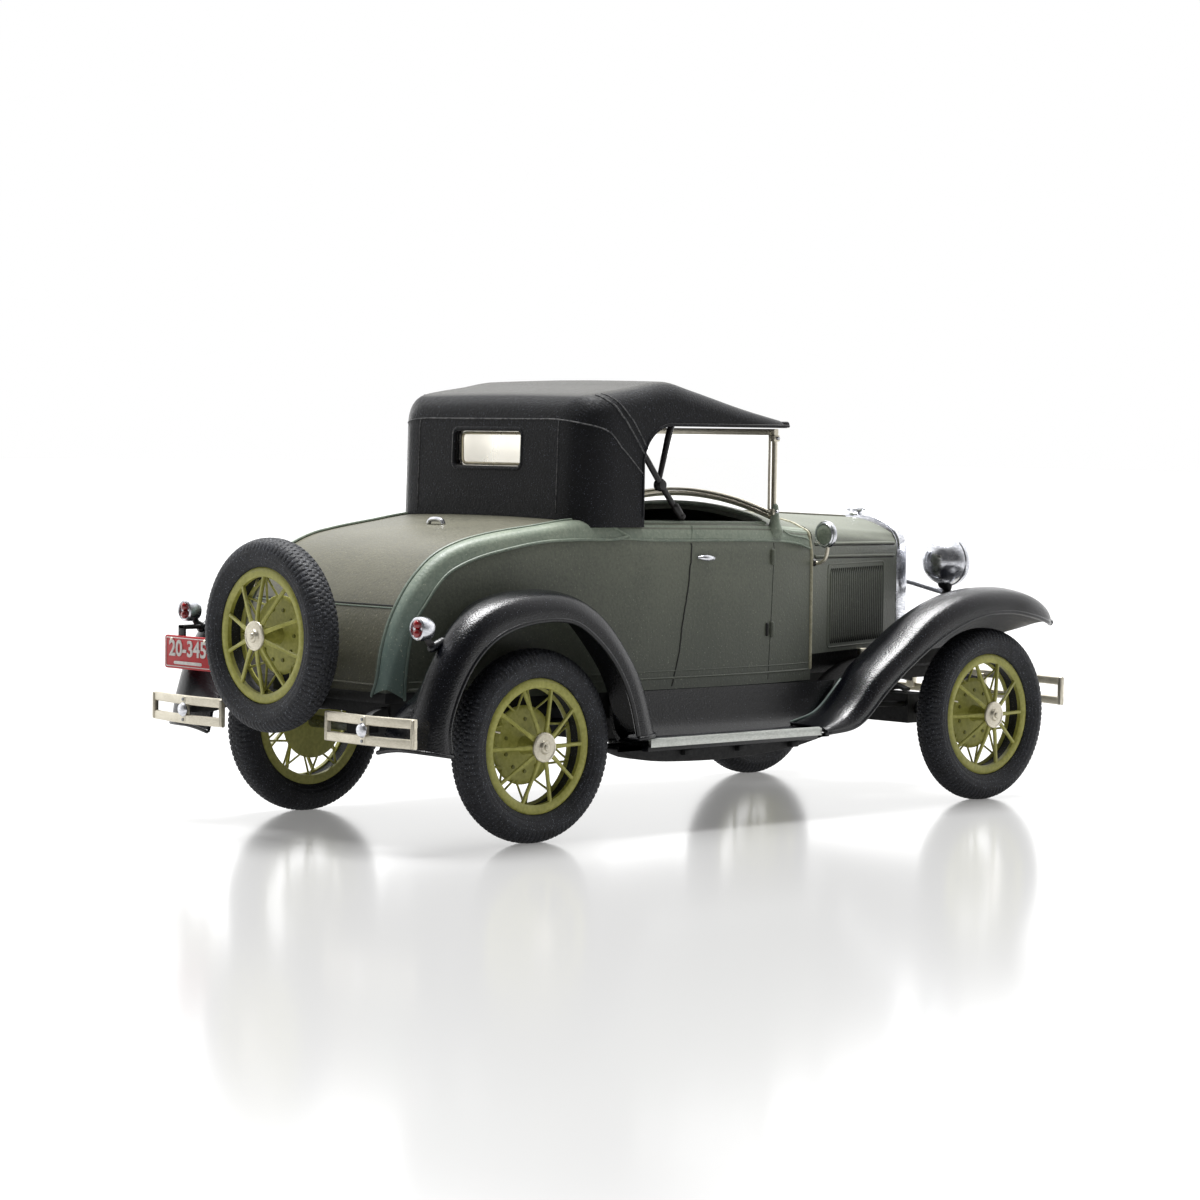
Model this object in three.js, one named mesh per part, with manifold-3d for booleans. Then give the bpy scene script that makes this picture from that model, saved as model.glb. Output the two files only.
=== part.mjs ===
// A 1:43 collector's model of a 1930s open two-seater, with a raised soft top and a spare wheel on the tail.
// Millimetres. X runs across the car with its left side at +X, the front faces -Y, and Z is up.
// The pieces are laid out with y = 0 midway between the axles, and centred on their footprint at the end.
import * as THREE from "three";
import { mergeVertices } from "three/addons/utils/BufferGeometryUtils.js";
import Module from "manifold-3d";

const wasm = await Module();
wasm.setup();

// ---------- driving dimensions ----------
const WHEELBASE = 61.1;
const FRONT_AXLE_Y = -WHEELBASE / 2;
const REAR_AXLE_Y = WHEELBASE / 2;
const HALF_TRACK = 16.4; // car's centre to the middle of a tyre

const TYRE_R = 8.75;
const TYRE_HALF_WIDTH = 1.55;
const TYRE_SIDES = 28; // flats round the tread, one of which rests on the shelf
const AXLE_Z = TYRE_R * Math.cos(Math.PI / TYRE_SIDES);
const RIM_R = 6.1;
const RIM_SIDES = 20;
const WINDOW_R = 5.27; // outer end of the gaps between spokes
const FACE_OUT = 1.04; // outer face of the spokes from the wheel's mid-plane
const SPOKES = 10;
const DRUM_R = 3.35;
const HUB_R = 1.15;
const CAP_OUT = 1.75; // tip of the hub cap from the mid-plane
const PIN_R = 0.6;
const PIN_SIDES = 16;
const RUNNING_FIT = 0.07; // between an axle pin and the bore it turns in

const GAP = 0.06; // left between pieces that meet
const WALL = 0.8; // casting wall of the body

const SILL_Z = 12.8; // lower edge of the body
const COWL_Y = -9.2; // joint between cowl and bonnet
const TAIL_Y = 43.3;
const COCKPIT = [-2.7, 20.9]; // front and back of the opening above the seat
const LEDGE = 1.25; // width of the belt ledge round the cockpit
const SCREEN_Y = -3.4;
const SCREEN_HALF = 13.35;

const TOP_REAR_Y = 21.35;
const TOP_FRONT_Y = -4.9;
const TOP_WALL = 0.7;
const DOORWAY_TOP_Z = 37.4; // lower edge of the top above the doors
const DOORWAY_REAR_Y = 14.4;

const BONNET_FRONT_Y = -28.1;
const BONNET_LOW_Z = 15.3;
const RADIATOR_FRONT_Y = -30.2;
const RADIATOR_HALF = 6.7;
const RADIATOR_TOP_Z = 28.4;

const PAN_HALF = 13.1;
const PAN_Z = [11.6, SILL_Z - GAP]; // underside and upper face of the chassis pan
const FENDER_LIP_X = 19.3;
const FENDER_THICKNESS = 0.5;
const BOARD = { front: -4.3, rear: 18.2, top: 8.55, under: 7.6, outer: 18.7 };
const SPARE = [0, 47.2, 18.26]; // middle of the spare wheel

// ---------- finishes ----------
const finish = (color, roughness, metalness = 0) =>
  new THREE.MeshStandardMaterial({ color, roughness, metalness });
const bodyPaint = finish(0x6b6f5f, 0.5);
const fenderPaint = finish(0x1b1c20, 0.38);
const topGrain = finish(0x202126, 0.85);
const chrome = finish(0xc9ccd0, 0.15, 1);
const nickel = finish(0xb9b29c, 0.35, 1);
const rubber = finish(0x2a2c30, 0.9);
const wheelPaint = finish(0xa6a552, 0.5);
const glass = finish(0xe4eaea, 0.05);
const redLens = finish(0xa8161c, 0.2);
const cabinBlack = finish(0x131212, 0.8);
const baseBlack = finish(0x17181a, 0.6);
const plateRed = finish(0xb01c22, 0.45);
const steel = finish(0x8f9194, 0.3, 1);

// ---------- helpers ----------
const car = new THREE.Group();
const range = (n) => Array.from({ length: n }, (_, i) => i);
const mix = (a, b, t) => a + (b - a) * t;
const point = (x, y, z) => new THREE.Vector3(x, y, z);
const quad = (a, b, c, d) => [[a, b, c], [a, c, d]];
const degrees = (angle) => (angle * Math.PI) / 180;

// A closed surface from points and triangles, turned so that its faces point out.
function closedSurface(points, faces) {
  const corner = new THREE.Vector3();
  const volume = faces.reduce((sum, [a, b, c]) => {
    return sum + points[a].dot(corner.crossVectors(points[b], points[c]));
  }, 0);
  const index = faces.flatMap(([a, b, c]) => (volume > 0 ? [a, b, c] : [a, c, b]));
  return new THREE.BufferGeometry().setFromPoints(points).setIndex(index);
}

// A three.js geometry as a solid that can be joined and cut.
function solid(geometry) {
  const bare = geometry.clone();
  bare.deleteAttribute("normal");
  bare.deleteAttribute("uv");
  const merged = mergeVertices(bare, 1e-4);
  const place = merged.attributes.position;
  const points = range(place.count).map((i) => new THREE.Vector3().fromBufferAttribute(place, i));
  const faces = range(merged.index.count / 3)
    .map((i) => [0, 1, 2].map((k) => merged.index.getX(3 * i + k)))
    .filter(([a, b, c]) => a !== b && b !== c && a !== c);
  const outward = closedSurface(points, faces);
  return new wasm.Manifold(
    new wasm.Mesh({
      numProp: 3,
      vertProperties: outward.attributes.position.array,
      triVerts: new Uint32Array(outward.index.array),
    }),
  );
}

function geometryOf(body) {
  const mesh = body.getMesh();
  const position = new Float32Array(mesh.numVert * 3);
  range(mesh.numVert).forEach((i) => {
    position.set(mesh.vertProperties.subarray(i * mesh.numProp, i * mesh.numProp + 3), i * 3);
  });
  const geometry = new THREE.BufferGeometry();
  geometry.setAttribute("position", new THREE.BufferAttribute(position, 3));
  geometry.setIndex(new THREE.BufferAttribute(mesh.triVerts, 1));
  return geometry;
}

const joined = (...shapes) => shapes.map(solid).reduce((all, next) => all.add(next));
const isGeometry = (shape) => Boolean(shape.isBufferGeometry);

function addMesh(name, shape, material) {
  const mesh = new THREE.Mesh(geometryOf(isGeometry(shape) ? solid(shape) : shape), material);
  mesh.name = name;
  car.add(mesh);
  return mesh;
}

// A piece made for the left side of the car, and its mirror image on the right.
function addPair(name, shape, material) {
  const left = geometryOf(isGeometry(shape) ? solid(shape) : shape);
  addMesh(`${name}_left`, left, material);
  addMesh(`${name}_right`, left.clone().scale(-1, 1, 1), material);
}

// A smooth function of one variable through the rows [x, value] of a table.
function smooth(table) {
  const last = table.length - 1;
  const slope = (i) => {
    const [a, b] = [table[Math.max(i - 1, 0)], table[Math.min(i + 1, last)]];
    return (b[1] - a[1]) / (b[0] - a[0]);
  };
  return (x) => {
    const found = table.findIndex((row) => row[0] >= x);
    const to = found < 0 ? last : Math.max(found, 1);
    const [[x0, v0], [x1, v1]] = [table[to - 1], table[to]];
    const t = Math.min(Math.max((x - x0) / (x1 - x0), 0), 1);
    const [bend, turn] = [t * t * (3 - 2 * t), t * (1 - t) * (x1 - x0)];
    return mix(v0, v1, bend) + turn * ((1 - t) * slope(to - 1) - t * slope(to));
  };
}

function box([x0, x1], [y0, y1], [z0, z1]) {
  const geometry = new THREE.BoxGeometry(x1 - x0, y1 - y0, z1 - z0);
  return geometry.translate((x0 + x1) / 2, (y0 + y1) / 2, (z0 + z1) / 2);
}

function flatShape(outline, holes = []) {
  const corners = (list) => list.map(([u, v]) => new THREE.Vector2(u, v));
  const shape = new THREE.Shape(corners(outline));
  shape.holes = holes.map((hole) => new THREE.Path(corners(hole)));
  return shape;
}

const extruded = (outline, holes, depth) =>
  new THREE.ExtrudeGeometry(flatShape(outline, holes), { depth, bevelEnabled: false });

// An outline in x and y made solid from one height to another.
const standing = (outline, [z0, z1], holes) => extruded(outline, holes, z1 - z0).translate(0, 0, z0);

// An outline in x and z made solid from one y to another.
const crosswise = (outline, [y0, y1], holes) =>
  extruded(outline, holes, y1 - y0).rotateX(Math.PI / 2).translate(0, y1, 0);

// An outline in y and z made solid from one x to another.
const lengthwise = (outline, [x0, x1], holes) =>
  extruded(outline, holes, x1 - x0).rotateX(Math.PI / 2).rotateZ(Math.PI / 2).translate(x0, 0, 0);

// A solid through a row of closed rings that all have the same number of points, with flat ends.
function loft(rings) {
  const n = rings[0].length;
  const lastRing = (rings.length - 1) * n;
  const middle = (ring) => ring.reduce((sum, p) => sum.add(p), point(0, 0, 0)).divideScalar(n);
  const points = [...rings.flat(), middle(rings[0]), middle(rings.at(-1))];
  const faces = range(n).flatMap((c) => {
    const d = (c + 1) % n;
    const sides = range(rings.length - 1).flatMap((r) =>
      quad(r * n + c, r * n + d, (r + 1) * n + d, (r + 1) * n + c),
    );
    return [...sides, [points.length - 2, d, c], [points.length - 1, lastRing + c, lastRing + d]];
  });
  return closedSurface(points, faces);
}

// A sheet of even thickness whose outer face is a grid of points; a negative thickness grows the other way.
function sheet(grid, thickness) {
  const [rows, columns] = [grid.length, grid[0].length];
  const inner = grid.map((row, r) =>
    row.map((p, c) => {
      const along = grid[Math.min(r + 1, rows - 1)][c].clone().sub(grid[Math.max(r - 1, 0)][c]);
      const across = row[Math.min(c + 1, columns - 1)].clone().sub(row[Math.max(c - 1, 0)]);
      return p.clone().addScaledVector(across.cross(along).normalize(), thickness);
    }),
  );
  const at = (r, c) => r * columns + c;
  const under = rows * columns;
  const faces = range(rows - 1).flatMap((r) =>
    range(columns - 1).flatMap((c) => {
      const cell = [at(r, c), at(r, c + 1), at(r + 1, c + 1), at(r + 1, c)];
      return [...quad(...cell), ...quad(...cell.map((i) => i + under).reverse())];
    }),
  );
  const rim = [
    ...range(columns - 1).map((c) => at(0, c)),
    ...range(rows - 1).map((r) => at(r, columns - 1)),
    ...range(columns - 1).map((c) => at(rows - 1, columns - 1 - c)),
    ...range(rows - 1).map((r) => at(rows - 1 - r, 0)),
  ];
  rim.forEach((a, i) => {
    const b = rim[(i + 1) % rim.length];
    faces.push(...quad(b, a, a + under, b + under));
  });
  return closedSurface([...grid.flat(), ...inner.flat()], faces);
}

// A solid of revolution about the Z axis from a profile of [radius, height].
function turned(profile, sides, start = 0) {
  const points = profile.map(([r, z]) => new THREE.Vector2(r, z));
  return new THREE.LatheGeometry(points, sides, start).rotateX(Math.PI / 2);
}

const disc = (radius, [low, high], sides, start) =>
  turned([[0, low], [radius, low], [radius, high], [0, high]], sides, start);

// A round bar through a list of points.
function bar(path, radius, sides = 8, steps = 1) {
  const curve = path.length === 2 ? new THREE.LineCurve3(...path) : new THREE.CatmullRomCurve3(path);
  const section = new THREE.Shape(
    range(sides).map((i) => {
      const turn = (2 * Math.PI * i) / sides;
      return new THREE.Vector2(radius * Math.cos(turn), radius * Math.sin(turn));
    }),
  );
  return new THREE.ExtrudeGeometry(section, { steps, bevelEnabled: false, extrudePath: curve });
}

const arc = (middle, radius, from, to, steps) =>
  range(steps + 1).map((i) => {
    const turn = degrees(mix(from, to, i / steps));
    return [middle[0] + radius * Math.cos(turn), middle[1] + radius * Math.sin(turn)];
  });

// A rectangle with rounded corners as a list of [u, v].
function roundedRectangle([u0, u1], [v0, v1], radius, steps = 3) {
  const corners = [[u1, v1, 0], [u0, v1, 90], [u0, v0, 180], [u1, v0, 270]];
  return corners.flatMap(([u, v, turn]) => {
    const middle = [u + (u === u1 ? -radius : radius), v + (v === v1 ? -radius : radius)];
    return arc(middle, radius, turn, turn + 90, steps);
  });
}

// ---------- body ----------
// Half the width, the height of the shoulder and how far the crown stands above it, each along the car.
const bodyHalf = smooth([
  [-10, 12.7], [-4, 13.7], [3, 14.1], [14, 13.9], [22, 13.4], [30, 12.9], [37, 12.2], [44, 11.4],
]);
const shoulderZ = smooth([
  [COWL_Y, 27.5], [-6, 27.7], [-2.5, 28.1], [14, 28.4], [21, 28.6], [27, 27.9], [31.5, 27.3],
  [34.8, 26.6], [37.5, 25.4], [39.8, 23.3], [41.7, 20.4], [42.9, 17], [TAIL_Y, 13.8],
]);
const crownRise = smooth([[COWL_Y, 1.6], [SCREEN_Y, 2.1], [0, 0.3], [20, 0.3], [TAIL_Y, 0.1]]);
const LEAN = 0.35; // how far the belt tips inwards
const arch = (u) => 1 - u * u;

// One section of the body, from the middle of its underside up one side and over to the other.
function bodyRing(y, inset, low) {
  const half = bodyHalf(y) - inset;
  const shoulder = shoulderZ(y) - inset;
  const rise = crownRise(y);
  const height = shoulder - SILL_Z;
  const radius = Math.min(0.8, 0.3 * height);
  const rounding = arc([half - LEAN - radius, shoulder - radius], radius, 15, 80, 2);
  const side = [
    [half, low],
    [half, shoulder - Math.min(2.3, 0.6 * height)],
    ...rounding,
    ...[0.72, 0.4].map((u) => [half * u, shoulder + rise * arch(u)]),
  ];
  const other = side.map(([x, z]) => [-x, z]).reverse();
  return [[0, low], ...side, [0, shoulder + rise], ...other].map(([x, z]) => point(x, y, z));
}

const BODY_STATIONS = [-6.5, SCREEN_Y, 0, 5, 10, 15, 21, 26, 31, 34.8, 37.5, 39.8, 41.3];
// The body's outer form, or one that stands off it by the given clearance.
function bodyForm(clearance) {
  const stations = [COWL_Y, ...BODY_STATIONS, 42.4, TAIL_Y];
  return solid(loft(stations.map((y) => bodyRing(y, -clearance, SILL_Z - clearance))));
}
function makeBody() {
  const hollow = [COWL_Y + WALL, ...BODY_STATIONS, 42.3];
  const inside = solid(loft(hollow.map((y) => bodyRing(y, WALL, SILL_Z - 1))));
  const rail = [COCKPIT[0], 3, 9, 15, COCKPIT[1]].map((y) => [bodyHalf(y) - LEDGE, y]);
  const opening = [...rail, ...rail.map(([x, y]) => [-x, y]).reverse()];
  return bodyForm(0).subtract(inside).subtract(solid(standing(opening, [20, 34])));
}
addMesh("body_shell", makeBody(), bodyPaint);

// The bonnet narrows to the radiator and is open underneath.
const forwardOfCowl = (y) => (COWL_Y - y) / (COWL_Y - BONNET_FRONT_Y);
const bonnetHalf = (y) => mix(12.75, RADIATOR_HALF + 0.1, forwardOfCowl(y));
function bonnetRing(y, inset, low) {
  const half = bonnetHalf(y) - inset;
  const shoulder = mix(27.5, 26.4, forwardOfCowl(y)) - inset;
  const rise = mix(1.6, 1.9, forwardOfCowl(y));
  const side = [
    [half, low],
    [half, shoulder - 0.9],
    [half - 0.3, shoulder - 0.2],
    ...[0.85, 0.6, 0.3].map((u) => [half * u, shoulder + rise * arch(u)]),
  ];
  const other = side.map(([x, z]) => [-x, z]).reverse();
  return [[0, low], ...side, [0, shoulder + rise], ...other].map(([x, z]) => point(x, y, z));
}
function makeBonnet() {
  const stations = [COWL_Y - GAP, -15, -22, BONNET_FRONT_Y];
  const outside = solid(loft(stations.map((y) => bonnetRing(y, 0, BONNET_LOW_Z))));
  const hollow = [COWL_Y - GAP - WALL, BONNET_FRONT_Y + WALL];
  return outside.subtract(solid(loft(hollow.map((y) => bonnetRing(y, WALL, BONNET_LOW_Z - 1)))));
}
addMesh("bonnet", makeBonnet(), bodyPaint);

addMesh("rumble_handle", bar([point(-1.1, 28.1, 28.42), point(1.1, 28.1, 28.42)], 0.3), chrome);
addPair("door_handle", bar([point(14.5, 5.8, 25), point(14.45, 7.9, 25.1)], 0.28), chrome);

// ---------- chassis ----------
const panHalf = (y) => Math.min(bodyHalf(y) - 0.3, PAN_HALF);
const FRAME_HALF = 5.2; // half-width of the frame ahead of the cowl
const SCREWS = [["front", 0], ["rear", 17.5]];
const SCREW = { head: 1.2, shank: 0.5, hole: 0.6, under: 8.74, neck: 9.34, top: 13.2 };
const CARRIER_HALF = 1.6; // half the length of an axle carrier along the car

function makeChassis() {
  const wide = [-9, 3, 14, 22, 30, 37, 42.5].map((y) => [panHalf(y), y]);
  const half = [[FRAME_HALF, -39.5], [FRAME_HALF, -9], ...wide];
  const pan = standing([...half, ...half.map(([x, y]) => [-x, y]).reverse()], PAN_Z);
  const carriers = [FRONT_AXLE_Y, REAR_AXLE_Y].flatMap((y) => {
    const length = [y - CARRIER_HALF, y + CARRIER_HALF];
    return [box([-8, 8], length, [AXLE_Z - 1.5, AXLE_Z + 1.5]), box([-3.2, 3.2], length, [AXLE_Z, PAN_Z[1]])];
  });
  const gearbox = box([-3.5, 3.5], [-22, 20], [9.2, 12]);
  const foot = box([-6, 6], [-9, 9], [6.9, 12]);
  const axleBore = disc(PIN_R + RUNNING_FIT, [-9, 9], PIN_SIDES).rotateY(Math.PI / 2);
  const axleHole = (y) => solid(axleBore.clone().translate(0, y, AXLE_Z));
  const screwHole = (y) => solid(disc(SCREW.hole, [6, 14], 12).translate(0, y, 0));
  const counterbore = (y) => solid(disc(SCREW.head + 0.15, [6, 9.4], 16).translate(0, y, 0));
  return [
    ...[FRONT_AXLE_Y, REAR_AXLE_Y].map(axleHole),
    ...SCREWS.flatMap(([, y]) => [screwHole(y), counterbore(y)]),
  ].reduce((all, hole) => all.subtract(hole), joined(pan, ...carriers, gearbox, foot));
}
addMesh("chassis_base", makeChassis(), baseBlack);

SCREWS.forEach(([end, y]) => {
  const profile = [
    [0, SCREW.under], [SCREW.head, SCREW.under], [SCREW.head, SCREW.neck],
    [SCREW.shank, SCREW.neck], [SCREW.shank, SCREW.top], [0, SCREW.top],
  ];
  addMesh(`chassis_screw_${end}`, turned(profile, 12).translate(0, y, 0), steel);
});

// ---------- cabin ----------
const TUB_HALF = 12.1;
const FLOOR_Z = [SILL_Z, 14];
const TUB_Y = [-8, 20.8];
function makeTub() {
  const width = [-TUB_HALF, TUB_HALF];
  const floor = box(width, TUB_Y, FLOOR_Z);
  const bulkhead = box(width, [20.1, TUB_Y[1]], [13.2, 27.2]);
  const toeboard = box(width, [TUB_Y[0], -7.4], [13.2, 22.4]);
  const side = [[TUB_Y[0], 13.2], [TUB_Y[1], 13.2], [TUB_Y[1], 26.8], [-1.8, 26.8], [TUB_Y[0], 22.4]];
  const walls = [[-TUB_HALF, 0.5 - TUB_HALF], [TUB_HALF - 0.5, TUB_HALF]].map((x) => lengthwise(side, x));
  const screwHole = disc(SCREW.hole, [12, SCREW.top + 0.1], 12);
  return SCREWS.map(([, y]) => solid(screwHole.clone().translate(0, y, 0))).reduce(
    (all, hole) => all.subtract(hole),
    joined(floor, bulkhead, toeboard, ...walls),
  );
}
addMesh("cabin_tub", makeTub(), cabinBlack);

const seatOutline = [
  [6, 14.06], [6, 18.6], [6.6, 19.4], [13.2, 18.2], [16.2, 26.6], [17, 27.2],
  [18.2, 27], [18.6, 26], [16.6, 14.06],
];
addMesh("seat", lengthwise(seatOutline, [-11.2, 11.2]), cabinBlack);

const DASH_HALF = 11.4;
const dashTop = range(9).map((i) => {
  const u = 1 - i / 4;
  return [DASH_HALF * u, 26.2 + 2 * arch(u)];
});
const dashOutline = [[-DASH_HALF, 22.8], [DASH_HALF, 22.8], ...dashTop];
addMesh("dashboard", crosswise(dashOutline, [-2.6, -1.9]), cabinBlack);

// The wheel is on the left, tipped back on a column that runs from the floor through the rim's centre.
function makeSteering() {
  const radius = 4.2;
  const section = [...arc([radius, 0], 0.28, 0, 288, 4), [radius + 0.28, 0]];
  const rim = turned(section, 20);
  const spokes = [90, 210, 330].map((turn) => {
    const tip = point(radius * Math.cos(degrees(turn)), radius * Math.sin(degrees(turn)), 0);
    return bar([point(0, 0, 0), tip], 0.2, 6);
  });
  const boss = disc(0.7, [-0.4, 0.4], 10);
  const column = disc(0.35, [-12.6, 0], 8);
  const upright = joined(rim, ...spokes, boss, column);
  return geometryOf(upright).rotateX(degrees(-42)).translate(5.6, 3.2, 23.6);
}
addMesh("steering_wheel", makeSteering(), cabinBlack);
addMesh(
  "gear_lever",
  joined(
    bar([point(0, 3, 14.06), point(0, 4.6, 20.4)], 0.25),
    new THREE.SphereGeometry(0.5, 8, 6).translate(0, 4.6, 20.6),
    disc(0.8, [14.06, 14.6], 12).translate(0, 3, 0),
  ),
  baseBlack,
);

// ---------- windscreen ----------
// The lower rail follows the arch of the cowl under it.
const SCREEN_Z = [28.45, 37.3]; // ends of the lower rail, top of the upper one
const SCREEN_RAIL = 0.55;
function screenOutline(inset) {
  const half = SCREEN_HALF - inset;
  const [low, high] = [SCREEN_Z[0] + inset, SCREEN_Z[1] - inset];
  const sill = range(9).map((i) => {
    const u = i / 4 - 1;
    return [half * u, low + 2.2 * arch(u * (half / SCREEN_HALF))];
  });
  return [...sill, [half, high], [-half, high]];
}
addMesh(
  "windscreen_frame",
  crosswise(screenOutline(0), [SCREEN_Y - 0.3, SCREEN_Y + 0.3], [screenOutline(SCREEN_RAIL)]),
  nickel,
);
addMesh(
  "windscreen_glass",
  crosswise(screenOutline(SCREEN_RAIL + GAP), [SCREEN_Y - 0.1, SCREEN_Y + 0.1]),
  glass,
);

// ---------- soft top ----------
// Half the width of the top and the height of its roof along the car, and the slope of its back.
const topHalf = smooth([[-5, 13.7], [14, 13.75], [18.2, 13.7], [20.4, 13.35], [TOP_REAR_Y, 12.5]]);
const roofZ = smooth([
  [-4.9, 38], [0.7, 39.2], [7.4, 40.9], [10.7, 41.6], [15, 41], [19, 40.4], [20.6, 40], [TOP_REAR_Y, 39.3],
]);
const rake = (y, z) => 0.045 * (40 - z) * Math.max((y - 14) / (TOP_REAR_Y - 14), 0);
function topRing(y, inset, low) {
  const half = topHalf(y) - inset;
  const roof = roofZ(y) - inset;
  const radius = mix(1, 2.4, Math.min(Math.max((y - TOP_FRONT_Y) / 16, 0), 1)) - inset / 2;
  const side = [
    [half, low],
    ...arc([half - radius, roof - radius], radius, 0, 90, 4),
    [half * 0.45, roof + 0.12],
  ];
  const other = side.map(([x, z]) => [-x, z]).reverse();
  return [[0, low], ...side, [0, roof + 0.15], ...other].map(([x, z]) => point(x, y + rake(y, z), z));
}
const WINDOW_Y = TOP_REAR_Y + rake(TOP_REAR_Y, 35);
function makeSoftTop() {
  const LOW_Z = 28.3;
  const outerStations = [TOP_FRONT_Y, 0.7, 5, 9, 10.7, 12.5, 15.5, 18.4, 20, 20.9, TOP_REAR_Y];
  const innerStations = [-6, 0.7, 5, 9, 10.7, 12.5, 15.5, 18.4, 20, TOP_REAR_Y - TOP_WALL];
  const outside = solid(loft(outerStations.map((y) => topRing(y, 0, LOW_Z))));
  const inside = solid(loft(innerStations.map((y) => topRing(y, TOP_WALL, LOW_Z - 2))));
  const front = [[-8, 20], [-8, DOORWAY_TOP_Z]];
  const cornerR = 3.6;
  const corner = arc([DOORWAY_REAR_Y - cornerR, DOORWAY_TOP_Z - cornerR], cornerR, 90, 0, 5);
  const doorway = solid(lengthwise([...front, ...corner, [DOORWAY_REAR_Y, 20]], [-20, 20]));
  const window = solid(crosswise(roundedRectangle([-4.5, 4.5], [33.8, 36.8], 0.5, 2), [18, 23]));
  const bead = crosswise(
    roundedRectangle([-5.1, 5.1], [33.1, 37.2], 0.7, 2), [WINDOW_Y - 0.5, WINDOW_Y + 0.2],
  );
  const shell = outside.subtract(inside).subtract(doorway).subtract(bodyForm(GAP));
  return shell.add(solid(bead)).subtract(window);
}
addMesh("soft_top", makeSoftTop(), topGrain);
addMesh(
  "rear_window",
  crosswise(
    roundedRectangle([-4.5 + GAP, 4.5 - GAP], [33.8 + GAP, 36.8 - GAP], 0.45, 2),
    [WINDOW_Y - 0.4, WINDOW_Y - 0.2],
  ),
  glass,
);

// The irons that would fold the top: a long diagonal, a shorter link and the pivot where they meet.
const IRON_X = 12.7;
addPair(
  "top_iron",
  joined(
    bar([point(IRON_X, 13.4, 34.4), point(IRON_X, 8.6, 28.8)], 0.26, 6),
    bar([point(IRON_X - 0.2, 9.7, 38.2), point(IRON_X - 0.2, 11.5, 32.1)], 0.28, 6),
    disc(0.6, [-0.4, 0.2], 12).rotateY(Math.PI / 2).translate(IRON_X, 11.3, 31.9),
    box([IRON_X - 0.2, IRON_X + 0.7], [8.1, 9.1], [28.6, 29]),
  ),
  baseBlack,
);

// ---------- radiator, lamps ----------
function radiatorOutline(inset) {
  const half = RADIATOR_HALF - inset;
  const top = RADIATOR_TOP_Z - inset;
  const shoulder = [[half, top - 3], [half - 0.7, top - 1.5], [half - 2.4, top - 0.5], [half * 0.3, top]];
  const other = shoulder.map(([x, z]) => [-x, z]).reverse();
  return [[-half, 13.2 + inset], [half, 13.2 + inset], ...shoulder, ...other];
}
addMesh(
  "radiator_shell",
  crosswise(radiatorOutline(0), [RADIATOR_FRONT_Y, BONNET_FRONT_Y - GAP], [radiatorOutline(0.95)]),
  chrome,
);
addMesh(
  "radiator_grille",
  crosswise(radiatorOutline(0.95 + GAP), [RADIATOR_FRONT_Y + 0.6, RADIATOR_FRONT_Y + 1.2]),
  baseBlack,
);
const CAP_Y = (RADIATOR_FRONT_Y + BONNET_FRONT_Y) / 2;
addMesh(
  "radiator_cap",
  joined(
    disc(0.75, [RADIATOR_TOP_Z + GAP, RADIATOR_TOP_Z + 0.6], 12).translate(0, CAP_Y, 0),
    box([-1.3, 1.3], [CAP_Y - 0.3, CAP_Y + 0.3], [RADIATOR_TOP_Z + 0.4, RADIATOR_TOP_Z + 0.85]),
  ),
  chrome,
);

const LAMP = { x: 9, y: -33.6, z: 23.9, radius: 2.45 };
const lampBowl = [
  [0, 2.5], [1, 2.35], [1.8, 1.85], [2.3, 1], [LAMP.radius, 0.1], [LAMP.radius, -0.6],
  [LAMP.radius - 0.3, -0.6], [LAMP.radius - 0.3, 0], [0, 0],
];
const facingRear = (geometry) => geometry.rotateX(-Math.PI / 2); // turns +Z to face +Y
addPair("headlamp", facingRear(turned(lampBowl, 20)).translate(LAMP.x, LAMP.y, LAMP.z), chrome);
addPair(
  "headlamp_lens",
  facingRear(turned([[0, -0.9], [1.3, -0.75], [2.05, -0.4], [2.05, -0.1], [0, -0.1]], 20))
    .translate(LAMP.x, LAMP.y, LAMP.z),
  glass,
);
// The bar that carries the headlamps is bowed up in the middle, and its ends rest on the fenders.
const BAR_Z = 20.6;
const barEnd = [point(LAMP.x, LAMP.y, BAR_Z), point(12.2, LAMP.y, 19.9)];
const barPath = [...barEnd.map((p) => p.clone().setX(-p.x)).reverse(), point(0, LAMP.y, 21.9), ...barEnd];
const lampStand = disc(0.5, [BAR_Z, LAMP.z - LAMP.radius - 0.02], 10);
addMesh(
  "headlamp_bar",
  joined(
    bar(barPath, 0.32, 8, 12),
    ...[-1, 1].map((side) => lampStand.clone().translate(side * LAMP.x, LAMP.y, 0)),
  ),
  chrome,
);

const cowlLampBowl = [[0, 0.4], [0.9, 0.35], [1.35, 0.1], [1.35, -0.4], [0, -0.5]];
addPair(
  "cowl_lamp",
  joined(
    facingRear(turned(cowlLampBowl, 16)).translate(14.5, -9.6, 27.1),
    bar([point(13.2, -9.6, 24.3), point(14, -9.6, 24.4), point(14.5, -9.6, 25.9)], 0.22, 6, 6),
  ),
  chrome,
);

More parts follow.
